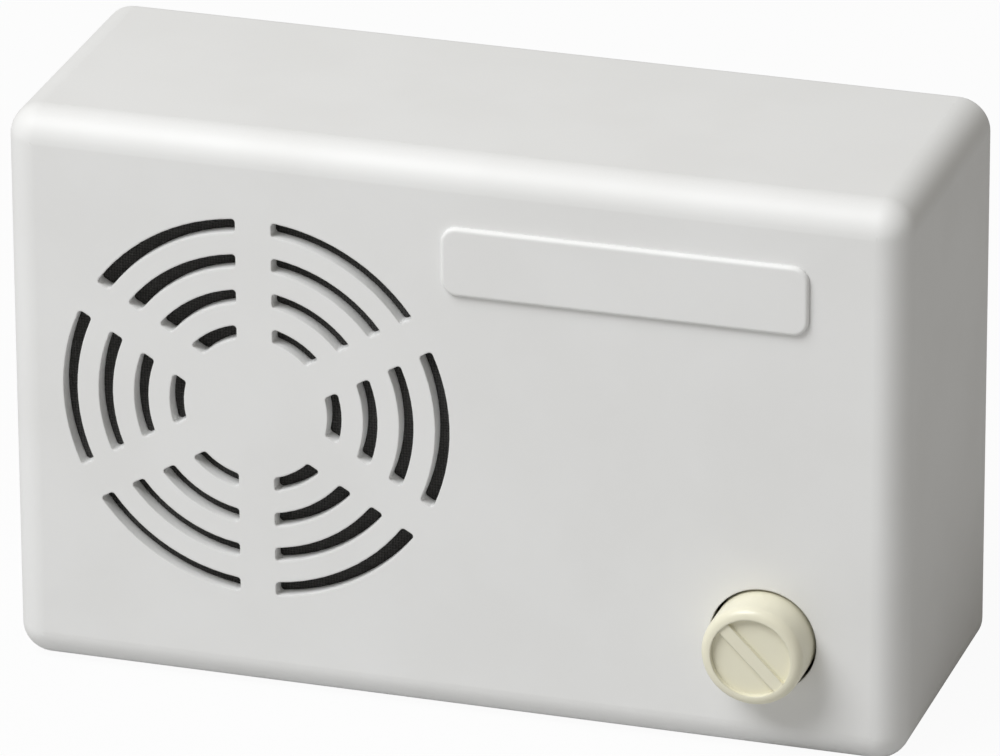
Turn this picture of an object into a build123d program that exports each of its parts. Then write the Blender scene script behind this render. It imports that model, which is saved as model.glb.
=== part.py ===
from build123d import *
import math
import os

os.makedirs("parts", exist_ok=True)

# A doorbell chime box that hangs on a wall. Its back lies on the plane y = 0, x runs to the right
# and z up, both from the middle of the back, and its front faces -Y. A height here is a distance
# off the wall. Lengths are in millimetres and angles in degrees.

# Case
case_depth = 42
edge_radius = 4.4
cover_wall = 2.2
cover_lift = 0.5
base_gap = 0.25
base_thickness = 2.5
rim_wall = 1.6
rim_height = 8
lug_gap = 0.05
lug_width = 10
lug_spacing = 44
stop_depth = 1.4
stop_width = 2
stop_spacing = 90
cut_over = 1

# Room around the pieces inside, which sets the width and the height of the case
speaker_side = 4.5
bay_gap = 1.2
holder_side = 3.25
holder_top = 2
board_gap = 1.2
board_bottom = 2.4

# Grille
slot_rings = 4
slot_first_radius = 11.1
slot_pitch = 5.03
slot_width = 2
slot_corner = 0.5
spoke_count = 6
spoke_width = 5
spoke_angle = 30

# Raised strip, left bare
strip_width = 50.3
strip_height = 9.7
strip_corner = 2.2
strip_rise = 0.7
strip_soft = 0.5
strip_side = 13.2
strip_top = 9.2

# Wall fixings and the hole for the bell wire
fixing_radius = 2.2
countersink_radius = 4
countersink_angle = 90
fixing_margin = 0.45
keyhole_radius = 4.2
keyhole_slot = 4.2
keyhole_reach = 7
keyhole_spacing = 60
keyhole_rise = 22
cable_entry_radius = 5
cable_entry_x = -2
cable_entry_margin = 0.7

# Loudspeaker
speaker_radius = 28.5
speaker_rise = 1.2
steel = 0.8
flange_width = 3.3
ledge_depth = 7.3
ledge_radius = 16.5
ledge_width = 1.9
ledge_step = 2
step_width = 1
floor_hole = 8.5
window_count = 4
window_inner = 18
window_outer = 23.6
window_bar = 7
top_plate_thickness = 2
magnet_radius = 16
magnet_hole = 9
magnet_thickness = 6
yoke_radius = 14.5
yoke_thickness = 2
yoke_bevel = 0.8
pole_radius = 6.15
coil_gap = 0.35
coil_wall = 0.45
coil_depth = 4
coil_rise = 0.3
glue_gap = 0.05
cone_radius = 21.3
cone_height = 6
cone_wall = 0.5
surround_thickness = 0.3
surround_lap = 1.2
surround_land = 1.7
surround_margin = 0.2
spider_radius = 15.6
spider_rolls = (10, 12.6)
spider_roll = 0.7
cap_radius = 8.6
cap_rise = 2.6
cap_wall = 0.4

# What holds and seals the loudspeaker
gasket_thickness = 2.7
gasket_width = 1.5
gasket_gap = 0.3
clamp_reach = 1.5
clamp_thickness = 0.8
clamp_margin = 0.1
pillar_radius = 3
pillar_gap = 0.5
pillar_count = 4
pillar_angle = 45
shelf_width = 2
shelf_lap = 2.8
screen_thickness = 0.4
screen_radius = 27.8
screen_ring_gap = 0.2
screen_ring_wall = 1.2
screen_ring_height = 0.9
tag_strip_width = 12
tag_strip_reach = 5
tag_strip_thickness = 1
tag_strip_inset = 3
tag_width = 2
tag_thickness = 0.5
tag_length = 4.5
tag_spacing = 7
tag_outset = 0.8

# Screws: each pilot hole is wider than its screw by the gap
screw_gap = 0.05
speaker_screw_radius = 1.3
speaker_screw_length = 9
speaker_screw_head = 2.6
speaker_screw_rise = 1.8
board_screw_radius = 1
board_screw_length = 6
board_screw_head = 2.1
board_screw_rise = 1.5
holder_screw_radius = 1
holder_screw_length = 5
holder_screw_head = 2
pilot_extra = 1
recess_width = 0.5
recess_share = 0.62
recess_depth = 0.9
screw_soft = 0.4

# Battery holder and cells
cell_count = 3
cell_radius = 7.1
cell_length = 50.5
cell_nub_radius = 2.7
cell_nub_length = 1
cell_soft = 0.6
cell_gap = 0.15
holder_back = 8
holder_floor = 1.5
holder_wall = 1.2
holder_end = 1.5
holder_rise = 6.7
holder_corner = 1
divider = 0.85
divider_height = 5
divider_short = 6
contact_thickness = 0.4
contact_width = 10
contact_rise = 5
spring_room = 3.2
spring_radius = 3.2
spring_wire = 0.3
spring_quarters = 10
spring_gap = 0.05
holder_boss_radius = 3
holder_boss_spacing = 36
lead_hole_radius = 0.9
lead_hole_drop = 2.75

# Circuit board and what it carries
board_width = 44.5
board_height = 22.4
board_thickness = 1.6
board_hole_inset = 3.6
board_post_radius = 2.5
volume_right = 7.3
volume_top = 10.4
volume_width = 11
volume_height = 12
volume_depth = 6.5
volume_soft = 0.5
bushing_radius = 4
bushing_rise = 2.5
bore_depth = 7
shaft_radius = 3
shaft_gap = 0.1
shaft_end_gap = 0.2
shaft_flat = 2.3
shaft_flat_length = 8
terminal_depth = 8.2
terminal_width = 10
terminal_rise = 10
terminal_inset = 0.5
terminal_up_share = 0.56
terminal_pitch = 5
terminal_well = 1.9
terminal_well_depth = 3
terminal_entry = 3.2
terminal_entry_rise = 2.2
terminal_entry_depth = 5
terminal_bevel = 2
terminal_screw_gap = 0.2
terminal_screw_rise = 1.8
connector_inset = 13
connector_edge = 4
connector_width = 5
connector_length = 7
connector_rise = 3.5
plug_width = 4.2
plug_length = 6.2
plug_rise = 3.5
pin_pitch = 2.5
connector_soft = 0.4
chip_radius = 4.2
chip_rise = 1.5
chip_place_shares = (0.53, 0.56)
capacitor_radius = 3.15
capacitor_length = 8
capacitor_groove = 0.35
capacitor_groove_up = 1.2
capacitor_place_shares = ((0.485, 0.17), (0.643, 0.17))
transistor_radius = 2.3
transistor_flat = 1.3
transistor_length = 4.6
transistor_legs = 1.5
transistor_place_shares = (0.791, 0.17)
resistor_radius = 1.1
resistor_length = 5.4
resistor_span = 7.6
resistor_lift = 1.3
resistor_place_shares = ((0.517, 0.933, 0), (0.517, 0.812, 0), (0.674, 0.554, 90))
disc_radius = 2.2
disc_thickness = 1.6
disc_lift = 1
disc_leg_spacing = 2.5
disc_place_shares = ((0.261, 0.5), (0.333, 0.5))
wire_radius = 0.3

# Volume knob
knob_radius = 7
knob_rise = 6
knob_length = 12
knob_wall = 1.4
knob_round = 1.3
knob_dish_radius = 5.5
knob_dish_depth = 0.8
knob_top = 2
knob_stem_radius = 4.5
knob_fit = 0.05
knob_hole_gap = 0.4
knob_back_gap = 5
knob_bar_width = 1.8
knob_bar_rise = 0.55
knob_bar_angle = 135
knob_bar_lap = 0.3

# Leads
lead_radius = 0.55
bend_share = 0.45

# Case, worked out
pillar_ring = speaker_radius + pillar_gap + pillar_radius
pillar_offset = pillar_ring * math.sin(math.radians(pillar_angle))
cell_room = 2 * (cell_radius + cell_gap)
cell_pitch = cell_room + divider
holder_width = cell_count * cell_room + (cell_count - 1) * divider + 2 * holder_wall
holder_length = cell_length + spring_room + 2 * (contact_thickness + holder_end)
inner_width = (speaker_side + speaker_radius + pillar_offset + pillar_radius + bay_gap
               + holder_length + holder_side)
inner_height = board_bottom + board_height + board_gap + holder_width + holder_top
case_width = inner_width + 2 * cover_wall
case_height = inner_height + 2 * cover_wall
cover_inside = case_depth - cover_wall
base_width = inner_width - 2 * base_gap
base_height = inner_height - 2 * base_gap
base_corner = edge_radius - cover_wall - base_gap
rim_inner_width = base_width - 2 * rim_wall
rim_inner_height = base_height - 2 * rim_wall
fixing_x = rim_inner_width / 2 - countersink_radius - fixing_margin
fixing_z = -rim_inner_height / 2 + countersink_radius + fixing_margin
fixing_places = ((-fixing_x, fixing_z), (fixing_x, fixing_z))
keyhole_places = ((-keyhole_spacing / 2, keyhole_rise), (keyhole_spacing / 2, keyhole_rise))
cable_entry_z = -rim_inner_height / 2 + cable_entry_radius + cable_entry_margin
cable_entry_place = (cable_entry_x, cable_entry_z)

# Loudspeaker, worked out from the inside of the cover backwards
speaker_x = -inner_width / 2 + speaker_side + speaker_radius
speaker_centre = (speaker_x, speaker_rise)
gasket_front = cover_inside - screen_thickness - gasket_gap
flange_front = gasket_front - gasket_thickness - surround_thickness
flange_back = flange_front - steel
flange_inner = speaker_radius - flange_width
ledge_front = flange_front - ledge_depth
floor_front = ledge_front - ledge_step
top_plate_front = floor_front - steel
magnet_front = top_plate_front - top_plate_thickness
yoke_front = magnet_front - magnet_thickness
yoke_back = yoke_front - yoke_thickness
coil_inner = pole_radius + coil_gap
coil_outer = coil_inner + coil_wall
top_plate_hole = coil_outer + coil_gap
cone_hole = coil_outer + glue_gap
cone_neck = flange_front - cone_height
clamp_inner = speaker_radius - clamp_reach
clamp_radius = pillar_ring - clamp_inner
clamp_front = flange_front + clamp_thickness
gasket_radius = clamp_inner - clamp_margin
shelf_inner = speaker_radius - shelf_lap
tag_strip_back = flange_back - tag_strip_thickness
tag_strip_z = speaker_rise - speaker_radius + tag_strip_inset - tag_strip_reach / 2
tag_end = tag_strip_back - tag_length
tag_z = tag_strip_z - tag_outset

# Battery holder, worked out
holder_left = speaker_x + pillar_offset + pillar_radius + bay_gap
holder_middle = holder_left + holder_length / 2
holder_centre = (holder_middle, inner_height / 2 - holder_top - holder_width / 2)
bay_left = holder_left + holder_end
bay_length = holder_length - 2 * holder_end
bay_right = bay_left + bay_length
bay_floor = holder_back + holder_floor
cell_axis = bay_floor + cell_gap + cell_radius
holder_front = cell_axis + holder_rise
cell_places = [holder_centre[1] + (row - (cell_count - 1) / 2) * cell_pitch
               for row in range(cell_count)]
boss_rows = (cell_places[0], cell_places[-1])
boss_places = [(holder_middle + side * holder_boss_spacing / 2, row)
               for row in boss_rows for side in (-1, 1)]
holder_screw_places = (boss_places[0], boss_places[-1])
lead_hole = cell_axis - lead_hole_drop

# Knob, worked out
knob_front = case_depth + knob_rise
knob_back = knob_front - knob_length
knob_ceiling = knob_front - knob_dish_depth - knob_top
shaft_front = knob_ceiling - shaft_end_gap

# Circuit board, worked out from the knob backwards
bushing_front = knob_back - knob_back_gap
volume_front = bushing_front - bushing_rise
board_front = volume_front - volume_depth
board_back = board_front - board_thickness
board_left = holder_middle - board_width / 2
board_low = -inner_height / 2 + board_bottom
board_centre = (holder_middle, board_low + board_height / 2)
board_right = board_left + board_width
board_high = board_low + board_height
board_post_x = (board_left + board_hole_inset, board_right - board_hole_inset)
board_post_z = (board_low + board_hole_inset, board_high - board_hole_inset)
board_post_places = [(x, z) for z in board_post_z for x in board_post_x]
board_screw_places = board_post_places[:2]
volume_centre = (board_right - volume_right, board_high - volume_top)
shaft_back = bushing_front - bore_depth + shaft_end_gap
terminal_centre = (board_left + terminal_inset + terminal_depth / 2,
                   board_low + terminal_up_share * board_height)
terminal_front = board_front + terminal_rise
connector_x = board_left + connector_inset
speaker_connector = (connector_x, board_low + connector_edge)
battery_connector = (connector_x, board_high - connector_edge)
connector_places = (speaker_connector, battery_connector)
plug_back = board_front + connector_rise
plug_front = plug_back + plug_rise


def facing(height, place=(0, 0)):
    """The plane at a height off the wall, with its middle at a place: x to the right, y up."""
    x, z = place
    return Plane(origin=(x, -height, z), x_dir=(1, 0, 0), z_dir=(0, -1, 0))


def facings(height, places):
    """One such plane for each of several places."""
    return [facing(height, place) for place in places]


def lengthwise(place):
    """The plane for turned profiles: x runs out from the turning axis, y is the height."""
    x, z = place
    return Plane(origin=(x, 0, z), x_dir=(1, 0, 0), z_dir=(0, 0, -1))


def turning_axis(place):
    """The axis that runs straight off the wall through a place."""
    x, z = place
    return Axis((x, 0, z), (0, -1, 0))


def board_place(across_share, up_share):
    """A place on the board, from shares of its width and its height."""
    return (board_left + across_share * board_width, board_low + up_share * board_height)


def write_piece(piece, name):
    """Label a finished piece and write it to its own file."""
    piece.part.label = name
    export_step(piece.part, f"parts/{name}.step")


def ring(inner, outer, back, front, place):
    """Add a plain ring between two heights to the piece being made."""
    with BuildSketch(facing(back, place)) as band:
        Circle(outer)
        Circle(inner, mode=Mode.SUBTRACT)
    extrude(band.sketch, amount=front - back)


def rolled_ring(inner, outer, back, thickness, rolls, roll_radius, place):
    """Add a thin flat ring with half-round rolls to the piece being made."""
    with BuildSketch(lengthwise(place)) as profile:
        with Locations(((inner + outer) / 2, back + thickness / 2)):
            Rectangle(outer - inner, thickness)
        for roll in rolls:
            with Locations((roll, back)):
                Circle(roll_radius + thickness)
                Circle(roll_radius, mode=Mode.SUBTRACT)
        with Locations(((inner + outer) / 2, back)):
            Rectangle(
                outer - inner, 2 * (roll_radius + thickness),
                align=(Align.CENTER, Align.MAX), mode=Mode.SUBTRACT,
            )
    revolve(profile.sketch, axis=turning_axis(place))


def pan_screws(places, seat, radius, length, head, rise):
    """Add round-headed screws, with a cross recess, that seat at a height."""
    with BuildSketch(*facings(seat - length, places)) as shanks:
        Circle(radius)
    extrude(shanks.sketch, amount=length)
    with BuildSketch(*facings(seat, places)) as heads:
        Circle(head)
    extrude(heads.sketch, amount=rise)
    fillet(faces().filter_by(Axis.Y).group_by(Axis.Y)[0].edges(), radius=screw_soft)
    cross_recess(places, seat + rise, head)


def flush_screws(places, seat, radius, length, head):
    """Add countersunk screws, with a cross recess, whose heads end at a height."""
    with BuildSketch(*facings(seat - length, places)) as shanks:
        Circle(radius)
    extrude(shanks.sketch, amount=length)
    for place in places:
        with BuildSketch(lengthwise(place)) as cone:
            with BuildLine():
                Polyline((0, seat), (head, seat), (0, seat - head), close=True)
            make_face()
        revolve(cone.sketch, axis=turning_axis(place))
    cross_recess(places, seat, head)


def cross_recess(places, front, head):
    """Cut the cross recess of screws whose heads end at a height."""
    reach = 2 * head * recess_share
    with BuildSketch(*facings(front - recess_depth, places)) as crosses:
        Rectangle(reach, recess_width)
        Rectangle(recess_width, reach)
    extrude(crosses.sketch, amount=recess_depth + cut_over, mode=Mode.SUBTRACT)


# Base plate: the plate, its rim and the lugs that grip the cover
with BuildPart() as base_plate:
    with BuildSketch(facing(0)):
        RectangleRounded(base_width, base_height, base_corner)
    extrude(amount=base_thickness)
    with BuildSketch(facing(base_thickness)):
        RectangleRounded(base_width, base_height, base_corner)
        RectangleRounded(
            rim_inner_width, rim_inner_height, base_corner - rim_wall, mode=Mode.SUBTRACT
        )
    extrude(amount=rim_height - base_thickness)
    lug_reach = inner_height - 2 * lug_gap
    with BuildSketch(facing(base_thickness)):
        with GridLocations(lug_spacing, 0, 2, 1):
            Rectangle(lug_width, lug_reach)
        Rectangle(base_width, rim_inner_height, mode=Mode.SUBTRACT)
    extrude(amount=rim_height - base_thickness)

    # The pillars of the loudspeaker, with the shelves that its flange rests on
    with BuildSketch(facing(base_thickness, speaker_centre)):
        with PolarLocations(pillar_ring, pillar_count, start_angle=pillar_angle):
            Circle(pillar_radius)
    extrude(amount=flange_front - base_thickness)
    with BuildSketch(facing(base_thickness, speaker_centre)):
        with PolarLocations((shelf_inner + pillar_ring) / 2, pillar_count, start_angle=pillar_angle):
            Rectangle(pillar_ring - shelf_inner, shelf_width)
    extrude(amount=flange_back - base_thickness)
    with BuildSketch(facing(flange_front + cut_over, speaker_centre)):
        with PolarLocations(pillar_ring, pillar_count, start_angle=pillar_angle):
            Circle(speaker_screw_radius + screw_gap)
    extrude(amount=-(speaker_screw_length + pilot_extra + cut_over), mode=Mode.SUBTRACT)

    # The bosses of the battery holder and the posts of the board
    with BuildSketch(*facings(base_thickness, boss_places)):
        Circle(holder_boss_radius)
    extrude(amount=holder_back - base_thickness)
    with BuildSketch(*facings(holder_back + cut_over, holder_screw_places)):
        Circle(holder_screw_radius + screw_gap)
    extrude(amount=-(holder_screw_length + cut_over), mode=Mode.SUBTRACT)
    with BuildSketch(*facings(base_thickness, board_post_places)):
        Circle(board_post_radius)
    extrude(amount=board_back - base_thickness)
    with BuildSketch(*facings(board_back + cut_over, board_screw_places)):
        Circle(board_screw_radius + screw_gap)
    extrude(amount=-(board_screw_length + pilot_extra + cut_over), mode=Mode.SUBTRACT)

    # The holes in the plate: two keyholes, two countersunk fixing holes and the wire's hole
    with BuildSketch(*facings(-cut_over, keyhole_places)):
        Circle(keyhole_radius)
        with Locations((0, keyhole_reach)):
            Circle(keyhole_slot / 2)
        with Locations((0, keyhole_reach / 2)):
            Rectangle(keyhole_slot, keyhole_reach)
    extrude(amount=base_thickness + 2 * cut_over, mode=Mode.SUBTRACT)
    for fixing_place in fixing_places:
        with Locations(facing(base_thickness, fixing_place)):
            CounterSinkHole(
                fixing_radius, countersink_radius, depth=base_thickness + cut_over,
                counter_sink_angle=countersink_angle,
            )
    with BuildSketch(facing(-cut_over, cable_entry_place)):
        Circle(cable_entry_radius)
    extrude(amount=base_thickness + 2 * cut_over, mode=Mode.SUBTRACT)
write_piece(base_plate, "base_plate")

# Front cover: a full-depth shell with its slots, knob hole, stops and raised strip
strip_centre = (
    case_width / 2 - strip_side - strip_width / 2,
    case_height / 2 - strip_top - strip_height / 2,
)
knob_hole_radius = knob_radius + knob_hole_gap
screen_ring_inner = screen_radius + screen_ring_gap
with BuildPart() as front_cover:
    with BuildSketch(facing(cover_lift)):
        Rectangle(case_width, case_height)
    extrude(amount=case_depth - cover_lift)
    front_face = front_cover.faces().sort_by(Axis.Y)[0]
    side_edges = front_cover.edges().filter_by(Axis.Y)
    fillet(side_edges + front_face.edges(), radius=edge_radius)
    offset(amount=-cover_wall, openings=front_cover.faces().sort_by(Axis.Y)[-1])

    # The stops inside, which rest on the rim of the base plate
    with BuildSketch(facing(rim_height)):
        with GridLocations(stop_spacing, inner_height - stop_depth, 2, 2):
            Rectangle(stop_width, stop_depth)
    extrude(amount=cover_inside - rim_height)
    ring(
        screen_ring_inner, screen_ring_inner + screen_ring_wall,
        cover_inside - screen_ring_height, cover_inside + cover_wall / 2, speaker_centre,
    )

    # The grille: rings of slots, from the widest inwards, crossed by plain spokes
    with BuildSketch(facing(cover_inside - cut_over, speaker_centre)) as slots:
        for slot_ring in reversed(range(slot_rings)):
            slot_radius = slot_first_radius + slot_ring * slot_pitch
            Circle(slot_radius + slot_width / 2)
            Circle(slot_radius - slot_width / 2, mode=Mode.SUBTRACT)
        grille_width = 2 * (slot_first_radius + slot_rings * slot_pitch)
        with PolarLocations(0, spoke_count // 2, start_angle=spoke_angle, angular_range=180):
            Rectangle(grille_width, spoke_width, mode=Mode.SUBTRACT)
        fillet(slots.vertices(), radius=slot_corner)
    extrude(amount=cover_wall + 2 * cut_over, mode=Mode.SUBTRACT)
    with BuildSketch(facing(cover_inside - cut_over, volume_centre)):
        Circle(knob_hole_radius)
    extrude(amount=cover_wall + 2 * cut_over, mode=Mode.SUBTRACT)
    with BuildSketch(facing(case_depth - cover_wall / 2, strip_centre)):
        RectangleRounded(strip_width, strip_height, strip_corner)
    extrude(amount=cover_wall / 2 + strip_rise)
    fillet(front_cover.faces().sort_by(Axis.Y)[0].edges(), radius=strip_soft)
write_piece(front_cover, "front_cover")

# Dust screen: thin black cloth behind the grille
with BuildPart() as dust_screen:
    with BuildSketch(facing(cover_inside - screen_thickness, speaker_centre)):
        Circle(screen_radius)
    extrude(amount=screen_thickness)
write_piece(dust_screen, "dust_screen")

# Loudspeaker frame: a pressed steel basket with windows in its side
with BuildPart() as speaker_frame:
    ledge_inner = ledge_radius - ledge_width
    floor_radius = ledge_inner - step_width
    basket_front = (
        (speaker_radius, flange_front), (flange_inner, flange_front),
        (ledge_radius, ledge_front), (ledge_inner, ledge_front),
        (floor_radius, floor_front), (floor_hole, floor_front),
    )
    basket_rear = [(r, height - steel) for r, height in reversed(basket_front)]
    with BuildSketch(lengthwise(speaker_centre)):
        with BuildLine():
            Polyline(*basket_front, *basket_rear, close=True)
        make_face()
    revolve(axis=turning_axis(speaker_centre))
    with BuildSketch(facing(floor_front, speaker_centre)):
        Circle(window_outer)
        Circle(window_inner, mode=Mode.SUBTRACT)
        with PolarLocations(0, window_count // 2, start_angle=pillar_angle, angular_range=180):
            Rectangle(2 * speaker_radius, window_bar, mode=Mode.SUBTRACT)
    extrude(amount=flange_front - floor_front, mode=Mode.SUBTRACT)
write_piece(speaker_frame, "speaker_frame")

# Magnet, its front plate and the yoke with the pole
with BuildPart() as speaker_top_plate:
    ring(top_plate_hole, yoke_radius, magnet_front, top_plate_front, speaker_centre)
write_piece(speaker_top_plate, "speaker_top_plate")

with BuildPart() as speaker_magnet:
    ring(magnet_hole, magnet_radius, yoke_front, magnet_front, speaker_centre)
write_piece(speaker_magnet, "speaker_magnet")

with BuildPart() as speaker_yoke:
    with BuildSketch(facing(yoke_back, speaker_centre)):
        Circle(yoke_radius)
    extrude(amount=yoke_thickness)
    chamfer(speaker_yoke.faces().sort_by(Axis.Y)[-1].edges(), length=yoke_bevel)
    with BuildSketch(facing(yoke_front, speaker_centre)):
        Circle(pole_radius)
    extrude(amount=top_plate_front - yoke_front)
write_piece(speaker_yoke, "speaker_yoke")

# Paper cone, voice coil and dust cap, which travel together
cone_slope = cone_height / (cone_radius - cone_hole)
with BuildPart() as speaker_cone:
    with BuildSketch(lengthwise(speaker_centre)):
        with BuildLine():
            Polyline(
                (cone_hole, cone_neck), (cone_radius, flange_front),
                (cone_radius, flange_front - cone_wall), (cone_hole, cone_neck - cone_wall),
                close=True,
            )
        make_face()
    revolve(axis=turning_axis(speaker_centre))
write_piece(speaker_cone, "speaker_cone")

with BuildPart() as voice_coil:
    ring(coil_inner, coil_outer, top_plate_front - coil_depth, cone_neck + coil_rise, speaker_centre)
write_piece(voice_coil, "voice_coil")

with BuildPart() as dust_cap:
    cap_seat = cone_neck + (cap_radius - cone_hole) * cone_slope + glue_gap
    cap_sphere = (cap_radius ** 2 + cap_rise ** 2) / (2 * cap_rise)
    with BuildSketch(lengthwise(speaker_centre)):
        with Locations((0, cap_seat + cap_rise - cap_sphere)):
            Circle(cap_sphere)
            Circle(cap_sphere - cap_wall, mode=Mode.SUBTRACT)
        with Locations((0, cap_seat)):
            Rectangle(
                cap_sphere, cap_sphere, align=(Align.MIN, Align.MIN), mode=Mode.INTERSECT
            )
    revolve(axis=turning_axis(speaker_centre))
write_piece(dust_cap, "dust_cap")

# The two soft rings that carry the cone: the surround at its rim and the spider at its neck
with BuildPart() as cone_surround:
    roll_inner = cone_radius + surround_margin
    roll_outer = flange_inner - surround_margin
    rolled_ring(
        cone_radius - surround_lap, flange_inner + surround_land, flange_front,
        surround_thickness, [(roll_inner + roll_outer) / 2],
        (roll_outer - roll_inner) / 2 - surround_thickness, speaker_centre,
    )
write_piece(cone_surround, "cone_surround")

with BuildPart() as speaker_spider:
    rolled_ring(
        cone_hole, spider_radius, ledge_front, surround_thickness, spider_rolls, spider_roll,
        speaker_centre,
    )
write_piece(speaker_spider, "speaker_spider")

# Foam gasket between the flange and the cover
with BuildPart() as speaker_gasket:
    ring(
        gasket_radius - gasket_width, gasket_radius,
        flange_front + surround_thickness, gasket_front, speaker_centre,
    )
write_piece(speaker_gasket, "speaker_gasket")

# Clamp washers and screws that hold the flange on its pillars
pillar_places = [
    (speaker_x + side * pillar_offset, speaker_rise + level * pillar_offset)
    for side in (-1, 1) for level in (-1, 1)
]
with BuildPart() as speaker_clamps:
    with BuildSketch(*facings(flange_front, pillar_places)):
        Circle(clamp_radius)
        Circle(speaker_screw_radius + screw_gap, mode=Mode.SUBTRACT)
    extrude(amount=clamp_thickness)
write_piece(speaker_clamps, "speaker_clamps")

with BuildPart() as speaker_screws:
    pan_screws(
        pillar_places, clamp_front, speaker_screw_radius, speaker_screw_length,
        speaker_screw_head, speaker_screw_rise,
    )
write_piece(speaker_screws, "speaker_screws")

# Tag strip under the flange, with two solder tags
with BuildPart() as speaker_tag_strip:
    with BuildSketch(facing(tag_strip_back, (speaker_x, tag_strip_z))):
        Rectangle(tag_strip_width, tag_strip_reach)
    extrude(amount=tag_strip_thickness)
write_piece(speaker_tag_strip, "speaker_tag_strip")

with BuildPart() as speaker_tags:
    with BuildSketch(facing(tag_end, (speaker_x, tag_z))):
        with GridLocations(tag_spacing, 0, 2, 1):
            Rectangle(tag_width, tag_thickness)
    extrude(amount=tag_length)
write_piece(speaker_tags, "speaker_tags")

# Circuit board and its screws
with BuildPart() as circuit_board:
    with BuildSketch(facing(board_back, board_centre)):
        Rectangle(board_width, board_height)
    extrude(amount=board_thickness)
    with BuildSketch(*facings(board_back - cut_over, board_screw_places)):
        Circle(board_screw_radius + screw_gap)
    extrude(amount=board_thickness + 2 * cut_over, mode=Mode.SUBTRACT)
write_piece(circuit_board, "circuit_board")

with BuildPart() as board_screws:
    pan_screws(
        board_screw_places, board_front, board_screw_radius, board_screw_length,
        board_screw_head, board_screw_rise,
    )
write_piece(board_screws, "board_screws")

# Volume control: its housing on the board, its shaft and the knob on the shaft
with BuildPart() as volume_control_body:
    with BuildSketch(facing(board_front, volume_centre)):
        Rectangle(volume_width, volume_height)
    extrude(amount=volume_depth)
    fillet(volume_control_body.edges().filter_by(Axis.Y), radius=volume_soft)
    with BuildSketch(facing(volume_front, volume_centre)):
        Circle(bushing_radius)
    extrude(amount=bushing_rise)
    with BuildSketch(facing(bushing_front - bore_depth, volume_centre)):
        Circle(shaft_radius + shaft_gap)
    extrude(amount=bore_depth + cut_over, mode=Mode.SUBTRACT)
write_piece(volume_control_body, "volume_control_body")

with BuildPart() as volume_shaft:
    with BuildSketch(facing(shaft_back, volume_centre)):
        Circle(shaft_radius)
    extrude(amount=shaft_front - shaft_back)
    with BuildSketch(facing(shaft_front + cut_over, volume_centre)):
        with Locations((shaft_flat, 0)):
            Rectangle(
                2 * shaft_radius, 2 * shaft_radius, align=(Align.MIN, Align.CENTER)
            )
    extrude(amount=-(shaft_flat_length + cut_over), mode=Mode.SUBTRACT)
write_piece(volume_shaft, "volume_shaft")

with BuildPart() as volume_knob:
    with BuildSketch(facing(knob_back, volume_centre)):
        Circle(knob_radius)
    extrude(amount=knob_length)
    fillet(volume_knob.faces().sort_by(Axis.Y)[0].edges(), radius=knob_round)
    with BuildSketch(facing(knob_back, volume_centre)):
        Circle(knob_radius - knob_wall)
        Circle(knob_stem_radius, mode=Mode.SUBTRACT)
    extrude(amount=knob_ceiling - knob_back, mode=Mode.SUBTRACT)
    with BuildSketch(facing(knob_back, volume_centre)):
        Circle(shaft_radius + knob_fit)
        with Locations((shaft_flat + knob_fit, 0)):
            Rectangle(
                2 * shaft_radius, 2 * (shaft_radius + knob_fit),
                align=(Align.MIN, Align.CENTER), mode=Mode.SUBTRACT,
            )
    extrude(amount=knob_ceiling - knob_back, mode=Mode.SUBTRACT)
    with BuildSketch(facing(knob_back, volume_centre)):
        Circle(shaft_radius + knob_fit)
    extrude(amount=shaft_front - shaft_flat_length - knob_back, mode=Mode.SUBTRACT)
    knob_floor = knob_front - knob_dish_depth
    with BuildSketch(facing(knob_floor, volume_centre)):
        Circle(knob_dish_radius)
    extrude(amount=knob_dish_depth + cut_over, mode=Mode.SUBTRACT)
    with BuildSketch(facing(knob_floor, volume_centre)):
        with Locations(Rotation(0, 0, knob_bar_angle)):
            Rectangle(2 * (knob_dish_radius + knob_bar_lap), knob_bar_width)
    extrude(amount=knob_bar_rise)
write_piece(volume_knob, "volume_knob")

# Terminal block for the bell wire: wire entries at its left, screws in wells at its front
with BuildPart() as terminal_block:
    with BuildSketch(facing(board_front, terminal_centre)):
        Rectangle(terminal_depth, terminal_width)
    extrude(amount=terminal_rise)
    front_left = terminal_block.faces().sort_by(Axis.Y)[0].edges().sort_by(Axis.X)[0]
    chamfer(front_left, length=terminal_bevel)
    with BuildSketch(facing(terminal_front - terminal_well_depth, terminal_centre)):
        with GridLocations(0, terminal_pitch, 1, 2):
            Circle(terminal_well)
    extrude(amount=terminal_well_depth + cut_over, mode=Mode.SUBTRACT)
    terminal_left = terminal_centre[0] - terminal_depth / 2
    entry_height = board_front + terminal_entry_rise + terminal_entry / 2
    entry_plane = Plane(
        origin=(terminal_left, -entry_height, terminal_centre[1]),
        x_dir=(0, 0, 1), z_dir=(1, 0, 0),
    )
    with BuildSketch(entry_plane):
        with GridLocations(terminal_pitch, 0, 2, 1):
            Rectangle(terminal_entry, terminal_entry)
    extrude(amount=terminal_entry_depth, mode=Mode.SUBTRACT)
write_piece(terminal_block, "terminal_block")

with BuildPart() as terminal_screws:
    screw_back = terminal_front - terminal_well_depth
    terminal_screw_places = [
        (terminal_centre[0], terminal_centre[1] + side * terminal_pitch / 2) for side in (-1, 1)
    ]
    terminal_screw_radius = terminal_well - terminal_screw_gap
    with BuildSketch(*facings(screw_back, terminal_screw_places)):
        Circle(terminal_screw_radius)
    extrude(amount=terminal_screw_rise)
    with BuildSketch(*facings(screw_back + terminal_screw_rise - recess_depth, terminal_screw_places)):
        Rectangle(2 * terminal_screw_radius, recess_width)
    extrude(amount=recess_depth + cut_over, mode=Mode.SUBTRACT)
write_piece(terminal_screws, "terminal_screws")

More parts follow.
